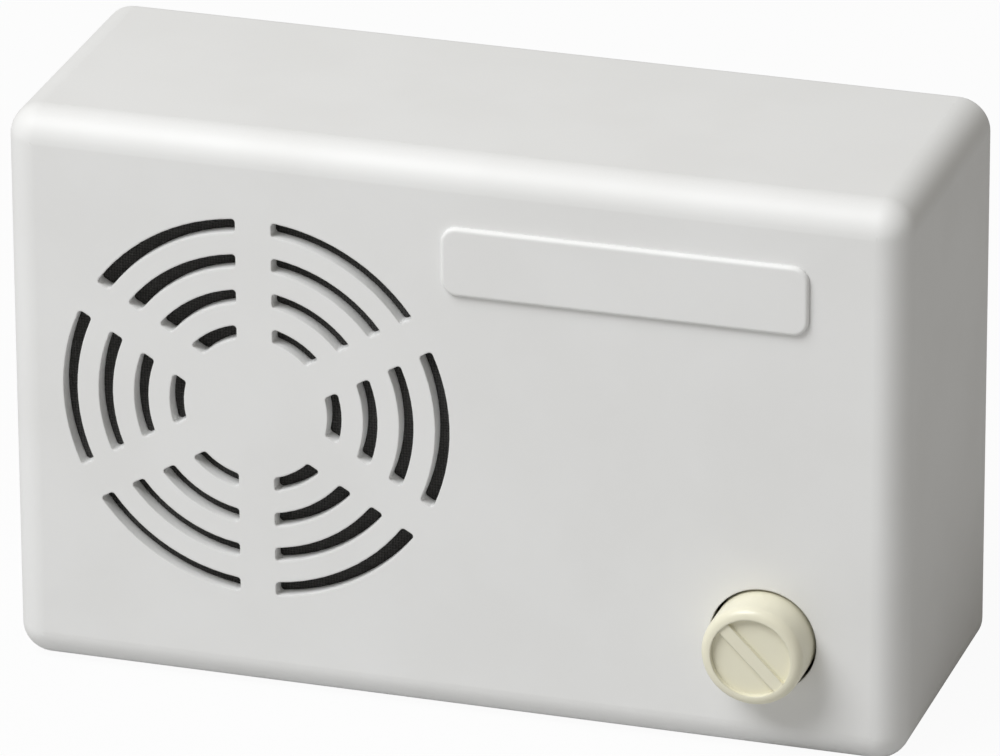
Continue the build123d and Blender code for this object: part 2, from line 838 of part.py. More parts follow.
# Sockets on the board for the leads, and the plugs in them
with BuildPart() as lead_sockets:
    with BuildSketch(*facings(board_front, connector_places)):
        Rectangle(connector_width, connector_length)
    extrude(amount=connector_rise)
    fillet(lead_sockets.edges().filter_by(Axis.Y), radius=connector_soft)
write_piece(lead_sockets, "lead_sockets")

with BuildPart() as lead_plugs:
    with BuildSketch(*facings(plug_back, connector_places)):
        Rectangle(plug_width, plug_length)
    extrude(amount=plug_rise)
    fillet(lead_plugs.edges().filter_by(Axis.Y), radius=connector_soft)
write_piece(lead_plugs, "lead_plugs")

# Chime chip: a drop of black resin on the board
with BuildPart() as chime_chip:
    chip_place = board_place(*chip_place_shares)
    chip_sphere = (chip_radius ** 2 + chip_rise ** 2) / (2 * chip_rise)
    with BuildSketch(lengthwise(chip_place)):
        with Locations((0, board_front + chip_rise - chip_sphere)):
            Circle(chip_sphere)
        with Locations((0, board_front)):
            Rectangle(
                chip_sphere, chip_sphere, align=(Align.MIN, Align.MIN), mode=Mode.INTERSECT
            )
    revolve(axis=turning_axis(chip_place))
write_piece(chime_chip, "chime_chip")

# Electrolytic capacitors: standing cans with a groove near the board
with BuildPart() as electrolytic_capacitors:
    groove_middle = board_front + capacitor_groove_up
    for shares in capacitor_place_shares:
        can_place = board_place(*shares)
        with BuildSketch(lengthwise(can_place)):
            with Locations((0, board_front)):
                Rectangle(capacitor_radius, capacitor_length, align=(Align.MIN, Align.MIN))
            with Locations((capacitor_radius, groove_middle)):
                Circle(capacitor_groove, mode=Mode.SUBTRACT)
        revolve(axis=turning_axis(can_place))
write_piece(electrolytic_capacitors, "electrolytic_capacitors")

# Transistor: a round body with one flat side on three legs
with BuildPart() as transistor:
    transistor_place = board_place(*transistor_place_shares)
    with BuildSketch(facing(board_front + transistor_legs, transistor_place)):
        Circle(transistor_radius)
        with Locations((0, transistor_flat)):
            Rectangle(
                2 * transistor_radius, transistor_radius,
                align=(Align.CENTER, Align.MIN), mode=Mode.SUBTRACT,
            )
    extrude(amount=transistor_length)
    with BuildSketch(facing(board_front, transistor_place)):
        with GridLocations(transistor_radius / 2, 0, 3, 1):
            Circle(wire_radius)
    extrude(amount=transistor_legs)
write_piece(transistor, "transistor")

# Resistors: each lies on its wire, whose ends bend down to the board
with BuildPart() as resistors:
    axis_height = board_front + resistor_lift
    for across_share, up_share, turn in resistor_place_shares:
        resistor_plane = facing(axis_height, board_place(across_share, up_share))
        with Locations(resistor_plane * Rotation(0, 0, turn)):
            Cylinder(resistor_radius, resistor_length, rotation=(0, 90, 0))
            Cylinder(wire_radius, resistor_span, rotation=(0, 90, 0))
            with GridLocations(resistor_span, 0, 2, 1):
                Cylinder(wire_radius, resistor_lift, align=(Align.CENTER, Align.CENTER, Align.MAX))
write_piece(resistors, "resistors")

# Ceramic capacitors: small standing discs on two legs
with BuildPart() as ceramic_capacitors:
    disc_height = board_front + disc_lift + disc_radius
    leg_length = disc_lift + disc_radius
    for shares in disc_place_shares:
        with Locations(facing(disc_height, board_place(*shares))):
            Cylinder(disc_radius, disc_thickness, rotation=(0, 90, 0))
            with GridLocations(0, disc_leg_spacing, 1, 2):
                Cylinder(wire_radius, leg_length, align=(Align.CENTER, Align.CENTER, Align.MAX))
write_piece(ceramic_capacitors, "ceramic_capacitors")

# Battery holder: a tray with low dividers between the cells
with BuildPart() as battery_holder:
    with BuildSketch(facing(holder_back, holder_centre)):
        RectangleRounded(holder_length, holder_width, holder_corner)
    extrude(amount=holder_front - holder_back)
    with BuildSketch(facing(bay_floor, holder_centre)):
        Rectangle(bay_length, holder_width - 2 * holder_wall)
    extrude(amount=holder_front - bay_floor + cut_over, mode=Mode.SUBTRACT)
    with BuildSketch(facing(bay_floor, holder_centre)):
        with GridLocations(0, cell_pitch, 1, cell_count - 1):
            Rectangle(cell_length - divider_short, divider)
    extrude(amount=divider_height)
    for screw_place in holder_screw_places:
        with Locations(facing(bay_floor, screw_place)):
            CounterSinkHole(
                holder_screw_radius + screw_gap, holder_screw_head + screw_gap,
                depth=holder_floor + cut_over, counter_sink_angle=countersink_angle,
            )
    for end, row in ((holder_left, cell_places[0]), (bay_right, cell_places[-1])):
        with BuildSketch(Plane(origin=(end, -lead_hole, row), x_dir=(0, 0, 1), z_dir=(1, 0, 0))):
            Circle(lead_hole_radius)
        extrude(amount=holder_end, mode=Mode.SUBTRACT)
write_piece(battery_holder, "battery_holder")

with BuildPart() as holder_screws:
    flush_screws(
        holder_screw_places, bay_floor, holder_screw_radius, holder_screw_length,
        holder_screw_head,
    )
write_piece(holder_screws, "holder_screws")

# Cells: they lie head to tail, so that the contact plates join them in a row
contact_left = bay_left + contact_thickness
contact_right = bay_right - contact_thickness
for number, row in enumerate(cell_places, start=1):
    if number % 2:
        plus_end, direction = contact_left, 1
    else:
        plus_end, direction = contact_right, -1
    along = Plane(
        origin=(plus_end, -cell_axis, row), x_dir=(direction, 0, 0), z_dir=(0, -direction, 0)
    )
    with BuildPart() as battery:
        with BuildSketch(along) as cell_profile:
            with BuildLine():
                Polyline(
                    (0, 0), (0, cell_nub_radius), (cell_nub_length, cell_nub_radius),
                    (cell_nub_length, cell_radius), (cell_length, cell_radius), (cell_length, 0),
                    close=True,
                )
            make_face()
            fillet(cell_profile.vertices().group_by(Axis.Y)[-1], radius=cell_soft)
        revolve(axis=Axis((plus_end, -cell_axis, row), (direction, 0, 0)))
    write_piece(battery, f"battery_{number}")

# Contact plates: one alone at each end of the row of cells, and two that each join two cells
with BuildPart() as battery_contacts:
    contact_height = contact_rise + cell_axis - bay_floor
    join_low = (cell_places[0] + cell_places[1]) / 2
    join_high = (cell_places[1] + cell_places[2]) / 2
    plates = (
        (bay_left, cell_places[0], contact_width),
        (bay_left, join_high, contact_width + cell_pitch),
        (contact_right, join_low, contact_width + cell_pitch),
        (contact_right, cell_places[2], contact_width),
    )
    for side, middle, width in plates:
        with BuildSketch(Plane(origin=(side, -bay_floor, middle), x_dir=(0, 0, 1), z_dir=(1, 0, 0))):
            Rectangle(width, contact_height, align=(Align.CENTER, Align.MIN))
        extrude(amount=contact_thickness)
write_piece(battery_contacts, "battery_contacts")

# Contact springs: open turns of wire between each contact plate and the flat end of its cell
with BuildPart() as battery_springs:
    spring_travel = spring_room - 2 * (spring_wire + spring_gap)
    quarter_step = spring_travel / spring_quarters
    for number, row in enumerate(cell_places, start=1):
        direction = -1 if number % 2 else 1
        start_x = (contact_right if number % 2 else contact_left) + direction * (
            spring_wire + spring_gap
        )
        turn_points = [
            Vector(
                start_x + direction * quarter_step * quarter,
                -cell_axis - spring_radius * math.cos(quarter * math.pi / 2),
                row + spring_radius * math.sin(quarter * math.pi / 2),
            )
            for quarter in range(spring_quarters + 1)
        ]
        with BuildLine() as coil:
            tangent = Vector(direction * quarter_step / 2, 0, spring_radius)
            for near, far in zip(turn_points, turn_points[1:]):
                arc = TangentArc(near, far, tangent=tangent)
                tangent = arc % 1
        with BuildSketch(Plane(origin=coil.line @ 0, z_dir=coil.line % 0)):
            Circle(spring_wire)
        sweep(path=coil.line)
write_piece(battery_springs, "battery_springs")


def bend_radii(route):
    """The radius of each bend of a route: as large as its shorter run allows."""
    radii = []
    for before, corner, after in zip(route, route[1:], route[2:]):
        run_in = Vector(*corner) - Vector(*before)
        run_out = Vector(*after) - Vector(*corner)
        half_turn = math.radians(run_in.get_angle(run_out)) / 2
        shorter = min(run_in.length, run_out.length)
        radii.append(bend_share * shorter / math.tan(half_turn))
    return radii


def lead(name, start, bends, end):
    """Write a lead that runs from a start through chosen points to an end."""
    route = [start, *bends, end]
    radii = bend_radii(route)
    with BuildPart() as piece:
        with BuildLine() as path:
            FilletPolyline(*route, radius=radii)
        with BuildSketch(Plane(origin=path.line @ 0, z_dir=path.line % 0)):
            Circle(lead_radius)
        sweep(path=path.line)
    write_piece(piece, name)
    swept = math.pi * lead_radius ** 2 * path.wire().length
    print(name, "radii", [round(radius, 2) for radius in radii],
          "volume", round(piece.part.volume, 2), "of", round(swept, 2))


# Loudspeaker leads, from the solder tags to their plug
lead(
    "speaker_lead_red",
    (speaker_x + tag_spacing / 2, -tag_end, tag_z),
    (
        (-23.8, -25.0, -27.6), (-18.5, -21.5, -29.5), (-8.0, -20.5, -31.5), (1.5, -24.5, -32.0),
        (8.5, -31.0, -31.6), (14.8, -35.4, -30.7), (19.0, -34.0, -30.15),
    ),
    (connector_x, -plug_front, speaker_connector[1] + pin_pitch / 2),
)
lead(
    "speaker_lead_black",
    (speaker_x - tag_spacing / 2, -tag_end, tag_z),
    (
        (-30.8, -24.0, -27.6), (-25.0, -18.8, -30.0), (-13.0, -17.5, -33.3), (-1.0, -21.5, -34.3),
        (7.5, -28.5, -34.2), (14.2, -34.4, -33.6), (19.0, -34.2, -32.65),
    ),
    (connector_x, -plug_front, speaker_connector[1] - pin_pitch / 2),
)

# Battery leads, from the contact plates at the two ends of the row of cells to their plug
lead(
    "battery_lead_red",
    (bay_left, -lead_hole, cell_places[0]),
    (
        (-4.4, -14.0, -3.35), (-5.6, -17.5, -8.8), (-2.8, -24.5, -13.6), (3.6, -31.4, -16.4),
        (11.6, -35.8, -17.8), (19.0, -34.4, -18.25),
    ),
    (connector_x, -plug_front, battery_connector[1] - pin_pitch / 2),
)
lead(
    "battery_lead_black",
    (bay_right, -lead_hole, cell_places[-1]),
    (
        (58.6, -14.0, 27.35), (58.7, -15.0, 21.0), (58.4, -17.6, 9.0), (58.6, -22.0, -2.5),
        (56.8, -27.6, -10.6), (48.0, -29.6, -13.3), (37.0, -30.6, -13.7), (26.5, -34.2, -14.6),
        (19.0, -34.6, -15.75),
    ),
    (connector_x, -plug_front, battery_connector[1] + pin_pitch / 2),
)
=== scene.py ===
# A doorbell chime box, put together from its wall plate forwards: the plate, the loudspeaker, the
# battery holder and its cells, the circuit board, the leads, and then the cover and the knob.
import math
import bmesh
import bpy
from mathutils import Matrix, Quaternion, Vector, noise


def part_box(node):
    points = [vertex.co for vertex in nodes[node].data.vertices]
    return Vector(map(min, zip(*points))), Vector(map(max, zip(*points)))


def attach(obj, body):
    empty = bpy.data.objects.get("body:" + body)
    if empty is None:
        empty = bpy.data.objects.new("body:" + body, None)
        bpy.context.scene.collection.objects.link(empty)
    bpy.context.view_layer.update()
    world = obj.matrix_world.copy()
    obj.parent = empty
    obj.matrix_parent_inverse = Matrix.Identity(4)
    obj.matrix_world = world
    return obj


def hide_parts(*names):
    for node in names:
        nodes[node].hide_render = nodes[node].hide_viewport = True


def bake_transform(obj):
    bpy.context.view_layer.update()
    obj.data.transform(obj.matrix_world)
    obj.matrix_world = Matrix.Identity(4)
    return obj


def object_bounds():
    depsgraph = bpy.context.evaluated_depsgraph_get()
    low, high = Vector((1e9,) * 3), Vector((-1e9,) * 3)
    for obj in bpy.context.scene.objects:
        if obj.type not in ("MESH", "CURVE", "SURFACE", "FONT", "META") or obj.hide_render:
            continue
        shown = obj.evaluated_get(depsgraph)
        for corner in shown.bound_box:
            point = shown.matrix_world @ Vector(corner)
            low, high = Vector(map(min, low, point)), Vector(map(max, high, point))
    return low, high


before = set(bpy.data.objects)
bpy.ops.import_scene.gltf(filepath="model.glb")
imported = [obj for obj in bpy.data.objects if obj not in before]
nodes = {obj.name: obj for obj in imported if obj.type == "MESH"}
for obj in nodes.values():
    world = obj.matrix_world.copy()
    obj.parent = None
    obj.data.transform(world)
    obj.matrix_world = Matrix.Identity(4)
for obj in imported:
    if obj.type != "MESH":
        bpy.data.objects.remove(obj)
cad_corners = [list(corner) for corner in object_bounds()]

# The view: the box stands on a pale floor and is seen from its upper right, through a long lens
# from well away. Lengths are in metres, and most are written in millimetres times mm.
mm = 0.001
view_target = Vector((-0.02, -20.0, 0.03)) * mm
view_azimuth = math.radians(17.57)
view_elevation = math.radians(23.23)
view_roll = math.radians(-0.28)
view_distance = 1327 * mm
view_lens = 354.8
view_sensor = 36
view_back = Vector((
    math.sin(view_azimuth) * math.cos(view_elevation),
    -math.cos(view_azimuth) * math.cos(view_elevation),
    math.sin(view_elevation),
))
scene = bpy.context.scene
camera = bpy.data.objects.new("view_camera", bpy.data.cameras.new("view_camera"))
camera.data.lens = view_lens
camera.data.sensor_width = view_sensor
camera.data.clip_start = 10 * mm
camera.data.clip_end = 100
camera.location = view_target + view_back * view_distance
camera.rotation_mode = "QUATERNION"
camera.rotation_quaternion = (
    (-view_back).to_track_quat("-Z", "Y") @ Quaternion((0, 0, 1), view_roll)
)
scene.collection.objects.link(camera)
scene.camera = camera
scene.view_settings.view_transform = "Standard"


# The studio: a plain pale floor under the box, one broad soft light from the upper left, and an
# even room all round. The floor looks paler to the eye than it shines on the box.
def new_finish(name, colour, roughness, **sockets):
    """A material whose plain values are on its shader's own sockets, and that shader."""
    material = bpy.data.materials.new(name)
    material.use_nodes = True
    shader = material.node_tree.nodes["Principled BSDF"]
    shader.inputs["Base Color"].default_value = (*colour, 1)
    shader.inputs["Roughness"].default_value = roughness
    for socket, value in sockets.items():
        shader.inputs[socket.replace("_", " ")].default_value = value
    return material, shader


def add(tree, kind, inputs=(), **settings):
    """Add a shader node. An input is a plain value, or another node's output to join to it."""
    made = tree.nodes.new("ShaderNode" + kind)
    for name, value in settings.items():
        setattr(made, name, value)
    for name, value in dict(inputs).items():
        if isinstance(value, bpy.types.NodeSocket):
            tree.links.new(value, made.inputs[name])
        else:
            made.inputs[name].default_value = value
    return made


def calc(tree, operation, *values):
    """A sum of shader values, held between 0 and 1 if its name ends in CLAMPED."""
    clamped = operation.endswith("_CLAMPED")
    made = add(tree, "Math", dict(enumerate(values)),
               operation=operation.removesuffix("_CLAMPED"), use_clamp=clamped)
    return made.outputs[0]


def give(tree, sockets, **results):
    """Join each result to the socket of its name, where _ stands for a space."""
    for socket, result in results.items():
        tree.links.new(result, sockets[socket.replace("_", " ")])


def soft_light(name, size, power, toward, distance, tint):
    """A square area light that shines on the box from one direction."""
    lamp = bpy.data.lights.new(name, "AREA")
    lamp.size = size
    lamp.energy = power
    lamp.color = tint
    light = bpy.data.objects.new(name, lamp)
    direction = Vector(toward).normalized()
    light.location = view_target + direction * distance
    light.rotation_mode = "QUATERNION"
    light.rotation_quaternion = (-direction).to_track_quat("-Z", "Y")
    scene.collection.objects.link(light)


floor_half = 3
floor_glow_share = 0.95
floor_mesh = bpy.data.meshes.new("studio_floor")
floor = bpy.data.objects.new("studio_floor", floor_mesh)
scene.collection.objects.link(floor)
shape = bmesh.new()
bmesh.ops.create_grid(shape, x_segments=1, y_segments=1, size=floor_half)
bmesh.ops.translate(shape, verts=shape.verts, vec=(0, 0, cad_corners[0][2]))
shape.to_mesh(floor_mesh)
shape.free()
floor_finish, floor_shader = new_finish("pale_floor", (0.58, 0.58, 0.58), 0.9)
tree = floor_finish.node_tree
seen = add(tree, "LightPath").outputs["Is Camera Ray"]
floor_mix = add(tree, "MixShader", {
    0: calc(tree, "MULTIPLY", seen, floor_glow_share), 1: floor_shader.outputs[0],
    2: add(tree, "Emission").outputs[0],
})
give(tree, tree.nodes["Material Output"].inputs, Surface=floor_mix.outputs[0])
floor_mesh.materials.append(floor_finish)

soft_light("key_light", size=0.9, power=23.2, toward=(-0.5, -0.62, 1.03), distance=1.6,
           tint=(0.975, 0.987, 1))
world = bpy.data.worlds.new("studio_room")
scene.world = world
world.use_nodes = True
room_light = world.node_tree.nodes["Background"]
room_light.inputs["Color"].default_value = (1, 0.965, 0.89, 1)
room_light.inputs["Strength"].default_value = 0.275


# Wall plate: one moulding in pale impact plastic with the fine eroded skin of its mould, the rim
# that the cover grips, the pillars of the loudspeaker and the posts of the board.
def mix_colours(tree, share, first, second):
    """The first colour at share 0, the second at share 1."""
    return add(tree, "Mix", {0: share, 6: first, 7: second}, data_type="RGBA").outputs[2]


def mix_values(tree, share, first, second):
    """The first value at share 0, the second at share 1."""
    return add(tree, "Mix", {0: share, 2: first, 3: second}, data_type="FLOAT").outputs[0]


def step_between(tree, value, low, high):
    """A smooth rise from 0 at the low value to 1 at the high one."""
    made = add(tree, "MapRange", {0: value, 1: low, 2: high}, interpolation_type="SMOOTHSTEP")
    return made.outputs[0]


def mottle(tree, place, scale, detail):
    """Soft noise from 0 to 1, with about so many patches in a metre."""
    return add(tree, "TexNoise", {"Vector": place, "Scale": scale, "Detail": detail}).outputs[0]


def coordinate(tree, axis, kind="Object"):
    """One coordinate of the point that is shaded, or of its normal."""
    return add(tree, "SeparateXYZ", {0: add(tree, "TexCoord").outputs[kind]}).outputs[axis]


def cosine(tree, first, second):
    """The cosine of the angle between two directions."""
    return add(tree, "VectorMath", {0: first, 1: second}, operation="DOT_PRODUCT").outputs["Value"]


def soften(tree, taken):
    """The normal with the edges rounded for the eye, by the group's Edge Radius."""
    radius = calc(tree, "MULTIPLY", taken["Edge Radius"], mm)
    return add(tree, "Bevel", {"Radius": radius}, samples=4).outputs["Normal"]


def new_group(name, inputs):
    """An empty shader group: its tree, what goes in and what comes out.

    Each takes a Colour, a Roughness and its own values, with their lengths in millimetres, and
    gives a Colour, a Roughness and a Normal.
    """
    tree = bpy.data.node_groups.new(name, "ShaderNodeTree")
    kinds = {"Colour": "NodeSocketColor", "Normal": "NodeSocketVector"}
    starts = {"Colour": (0.5, 0.5, 0.5, 1), "Roughness": 0.5, **inputs}
    for socket, start in starts.items():
        made = tree.interface.new_socket(
            socket, in_out="INPUT", socket_type=kinds.get(socket, "NodeSocketFloat")
        )
        made.default_value = start
    for socket in ("Colour", "Roughness", "Normal"):
        tree.interface.new_socket(
            socket, in_out="OUTPUT", socket_type=kinds.get(socket, "NodeSocketFloat")
        )
    taken = tree.nodes.new("NodeGroupInput").outputs
    given = tree.nodes.new("NodeGroupOutput").inputs
    return tree, taken, given


def finish_group(tree, given, colour, roughness, depth, height, **normal):
    """Join what a group has worked out to its outputs, with its relief so many millimetres deep."""
    relief = {"Distance": calc(tree, "MULTIPLY", depth, mm), "Height": height, **normal}
    bump = add(tree, "Bump", relief)
    give(tree, given, Colour=colour, Roughness=roughness, Normal=bump.outputs[0])
    return tree


def make_moulded_skin():
    """Moulded plastic: eroded grain, cloudy colour, softly worn edges and a little dust on top.

    Where a mesh's smooth normal strays from its true one, the true one is used, so that no bright
    specks show at the corners.
    """
    tree, taken, given = new_group("moulded_skin", {
        "Grain Size": 0.4, "Grain Depth": 0.01, "Cloud": 0.05, "Edge Radius": 0.2,
        "Edge Wear": 0.3, "Dust": 0.1,
    })
    cloud_scale, fleck_scale, mote_scale = 55.0, 420.0, 3600.0
    least_agreement = 0.97
    edge_gain = 6.0
    rubbed_share = 0.3
    roughness_range = 0.12
    dusty_roughness = 0.95
    cloud_tint = (0.35, 0.31, 0.25, 1)
    rubbed_colour = (0.9, 0.9, 0.88, 1)
    dust_colour = (0.5, 0.48, 0.44, 1)
    place = add(tree, "TexCoord").outputs["Object"]
    grain = mottle(tree, place, calc(tree, "DIVIDE", 1 / mm, taken["Grain Size"]), 2.0)
    cloud = mottle(tree, place, cloud_scale, 4.0)
    fleck = mottle(tree, place, fleck_scale, 3.0)
    motes = mottle(tree, place, mote_scale, 4.0)

    surface = add(tree, "NewGeometry").outputs
    true = surface["True Normal"]
    stray = calc(tree, "LESS_THAN", cosine(tree, surface["Normal"], true), least_agreement)
    softened = add(tree, "Mix", {0: stray, 4: soften(tree, taken), 5: true},
                   data_type="VECTOR").outputs[1]
    edge = calc(tree, "SUBTRACT", 1.0, cosine(tree, softened, true))
    edge = calc(tree, "MULTIPLY_CLAMPED", edge, edge_gain)
    worn = calc(tree, "MULTIPLY", edge, step_between(tree, fleck, 0.42, 0.62))
    worn = calc(tree, "MULTIPLY_CLAMPED", worn, taken["Edge Wear"])
    upward = coordinate(tree, "Z", "Normal")
    settled = calc(tree, "MULTIPLY", step_between(tree, upward, 0.5, 1.0),
                   step_between(tree, motes, 0.45, 0.75))
    settled = calc(tree, "MULTIPLY_CLAMPED", settled, taken["Dust"])

    darker = calc(tree, "MULTIPLY", step_between(tree, cloud, 0.35, 0.7), taken["Cloud"])
    colour = add(tree, "Mix", {0: darker, 6: taken["Colour"], 7: cloud_tint},
                 data_type="RGBA", blend_type="MULTIPLY").outputs[2]
    paler = mix_colours(tree, rubbed_share, taken["Colour"], rubbed_colour)
    colour = mix_colours(tree, worn, colour, paler)
    colour = mix_colours(tree, settled, colour, dust_colour)
    roughness = calc(tree, "MULTIPLY_ADD", cloud, roughness_range, taken["Roughness"])
    roughness = calc(tree, "SUBTRACT", roughness, roughness_range / 2)
    roughness = mix_values(tree, settled, roughness, dusty_roughness)
    return finish_group(tree, given, colour, roughness, taken["Grain Depth"], grain,
                        Normal=softened)


moulded_skin = make_moulded_skin()


def skinned(name, group, colour, roughness, values, **sockets):
    """A finish whose colour, roughness and normal come from a shader group with its own values."""
    material, shader = new_finish(name, colour, roughness, **sockets)
    tree = material.node_tree
    skin = tree.nodes.new("ShaderNodeGroup")
    skin.node_tree = group
    own_values = {"Colour": (*colour, 1), "Roughness": roughness, **values}
    for socket, value in own_values.items():
        skin.inputs[socket].default_value = value
    give(tree, shader.inputs, Base_Color=skin.outputs["Colour"],
         Roughness=skin.outputs["Roughness"], Normal=skin.outputs["Normal"])
    return material


def dress(material, *names):
    """Give carried-over pieces their finish."""
    for name in names:
        piece = nodes[name]
        if not piece.material_slots:
            piece.data.materials.append(material)
        for place in piece.material_slots:
            place.material = material


dress(
    skinned("plate_moulding", moulded_skin, (0.77, 0.77, 0.755), 0.5,
            {"Grain Size": 0.35, "Grain Depth": 0.02, "Cloud": 0.06, "Dust": 0.25}),
    "base_plate",
)


# Loudspeaker basket, pole plate and yoke: pressed and turned steel with a thin bright zinc plate,
# which has faint rolling lines and dulls in patches.
def make_plated_metal():
    """Plated or bare metal: rolling lines, dull patches and edges that look a little rounded."""
    tree, taken, given = new_group("plated_metal", {
        "Line Depth": 0.004, "Tarnish": 0.2, "Edge Radius": 0.1,
    })
    line_scale, patch_scale = 5200.0, 190.0
    line_stretch = (0.06, 1, 1)
    tarnish_colour = (0.2, 0.19, 0.17, 1)
    tarnish_roughness = 0.5
    line_roughness = 0.1
    place = add(tree, "TexCoord").outputs["Object"]
    drawn_out = add(tree, "VectorMath", {0: place, 1: line_stretch}, operation="MULTIPLY")
    lines = mottle(tree, drawn_out.outputs[0], line_scale, 2.0)
    patches = mottle(tree, place, patch_scale, 5.0)
    dull = calc(tree, "MULTIPLY", step_between(tree, patches, 0.4, 0.72), taken["Tarnish"])
    colour = mix_colours(tree, dull, taken["Colour"], tarnish_colour)
    roughness = calc(tree, "MULTIPLY_ADD", dull, tarnish_roughness, taken["Roughness"])
    roughness = calc(tree, "MULTIPLY_ADD", lines, line_roughness, roughness)
    return finish_group(tree, given, colour, roughness, taken["Line Depth"], lines,
                        Normal=soften(tree, taken))


def plated(name, colour, roughness, line_depth, tarnish, edge_radius=0.1):
    """A metal finish. Its lengths are in millimetres."""
    values = {"Line Depth": line_depth, "Tarnish": tarnish, "Edge Radius": edge_radius}
    return skinned(name, plated_metal, colour, roughness, values, Metallic=1)


plated_metal = make_plated_metal()
dress(
    plated("zinc_plate", (0.62, 0.62, 0.6), 0.32, line_depth=0.006, tarnish=0.3),
    "speaker_frame", "speaker_top_plate", "speaker_yoke",
)


# Magnet: a ring of pressed and fired ferrite, charcoal grey, dull and grainy.
dress(
    skinned("ferrite", moulded_skin, (0.035, 0.035, 0.038), 0.72,
            {"Grain Size": 0.25, "Grain Depth": 0.05, "Cloud": 0.3, "Edge Wear": 0.12,
             "Dust": 0.2}),
    "speaker_magnet",
)


# Paper cone: one black pressed-pulp cone with a slight flare and three stiffening ribs, glued to
# the voice coil at its neck.
def make_pressed_fibres():
    """Pulp and card: matted fibres in relief and in colour."""
    tree, taken, given = new_group("pressed_fibres", {
        "Fibre Size": 0.5, "Fibre Depth": 0.02, "Fleck": 0.3,
    })
    pulp_scale = 160.0
    pulp_roughness = 0.15
    pale_share = 0.35
    pale_fibre = (0.8, 0.76, 0.66, 1)
    place = add(tree, "TexCoord").outputs["Object"]
    scale = calc(tree, "DIVIDE", 1 / mm, taken["Fibre Size"])
    matted = add(tree, "TexNoise", {
        "Vector": place, "Scale": scale, "Detail": 6.0, "Distortion": 2.5,
    }).outputs[0]
    pulp = mottle(tree, place, pulp_scale, 4.0)
    pale = calc(tree, "MULTIPLY", step_between(tree, matted, 0.5, 0.78), taken["Fleck"])
    lighter = mix_colours(tree, pale_share, taken["Colour"], pale_fibre)
    colour = mix_colours(tree, pale, taken["Colour"], lighter)
    roughness = calc(tree, "MULTIPLY_ADD", pulp, pulp_roughness, taken["Roughness"])
    return finish_group(tree, given, colour, roughness, taken["Fibre Depth"], matted)


def turn(shape, profile, centre, start=0.0, sweep=2 * math.pi, steps=96):
    """Turn a line of (radius, height) points about the axis that runs off the wall."""
    x, z = centre
    points = [shape.verts.new((radius, -height, 0)) for radius, height in profile]
    lines = [shape.edges.new(ends) for ends in zip(points, points[1:])]
    bmesh.ops.rotate(shape, verts=points, cent=(0, 0, 0), matrix=Matrix.Rotation(start, 3, "Y"))
    bmesh.ops.translate(shape, verts=points, vec=(x, 0, z))
    weld_distance = 0.001 * mm
    bmesh.ops.spin(
        shape, geom=points + lines, cent=(x, 0, z), axis=(0, 1, 0), dvec=(0, 0, 0),
        angle=sweep, steps=steps, use_merge=sweep == 2 * math.pi, use_duplicate=False,
    )
    bmesh.ops.remove_doubles(shape, verts=shape.verts, dist=weld_distance)


def turned_sheet(profile, thickness, **turning):
    """A sheet of one thickness, turned about the loudspeaker's axis."""
    shape = bmesh.new()
    turn(shape, profile, speaker_centre, **turning)
    bmesh.ops.recalc_face_normals(shape, faces=shape.faces)
    bmesh.ops.solidify(shape, geom=shape.faces, thickness=thickness)
    return shape


def new_piece(name, shape, materials, body, stands_for=(), sharp=35):
    """Make a shape a piece of the box that rides on a body, smooth but for its sharp edges."""
    bmesh.ops.recalc_face_normals(shape, faces=shape.faces)
    mesh = bpy.data.meshes.new(name)
    shape.to_mesh(mesh)
    shape.free()
    mesh.shade_smooth()
    mesh.set_sharp_from_angle(angle=math.radians(sharp))
    for material in materials:
        mesh.materials.append(material)
    piece = bpy.data.objects.new(name, mesh)
    scene.collection.objects.link(piece)
    if body:
        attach(piece, body)
    if stands_for:
        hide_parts(*stands_for)
    return piece


def middle(name):
    """The middle of a piece as it is seen from the front, x and z."""
    low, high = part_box(name)
    return ((low.x + high.x) / 2, (low.z + high.z) / 2)


def round_size(name):
    """The radius of a round piece, and how far its back and its front are off the wall."""
    low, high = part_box(name)
    return (high.x - low.x) / 2, -high.y, -low.y


def shares(count):
    """Even steps from 0 to 1."""
    return [step / count for step in range(count + 1)]


pressed_fibres = make_pressed_fibres()
speaker_centre = middle("speaker_frame")
cone_radius, _, cone_front = round_size("speaker_cone")
cone_depth = 6 * mm
cone_neck_radius = 7 * mm
cone_bow = 0.25 * mm
cone_wall = 0.4 * mm
cone_rib = 0.12 * mm
cone_rib_width_share = 0.05
cone_rib_shares = (0.42, 0.56, 0.7)
cone_profile = []
for share in shares(60):
    height = cone_front - cone_depth * (1 - share) - cone_bow * math.sin(math.pi * share)
    for rib_share in cone_rib_shares:
        near = (share - rib_share) / cone_rib_width_share
        height += cone_rib * math.exp(-near * near)
    radius = cone_neck_radius + share * (cone_radius - cone_neck_radius)
    cone_profile.append((radius, height - cone_wall))
cone_paper = skinned("cone_paper", pressed_fibres, (0.02, 0.02, 0.021), 0.78,
                     {"Fibre Size": 0.6, "Fibre Depth": 0.05, "Fleck": 0.35})
new_piece("paper_cone", turned_sheet(cone_profile, cone_wall, steps=128), [cone_paper],
          "speaker_cone", ["speaker_cone"])


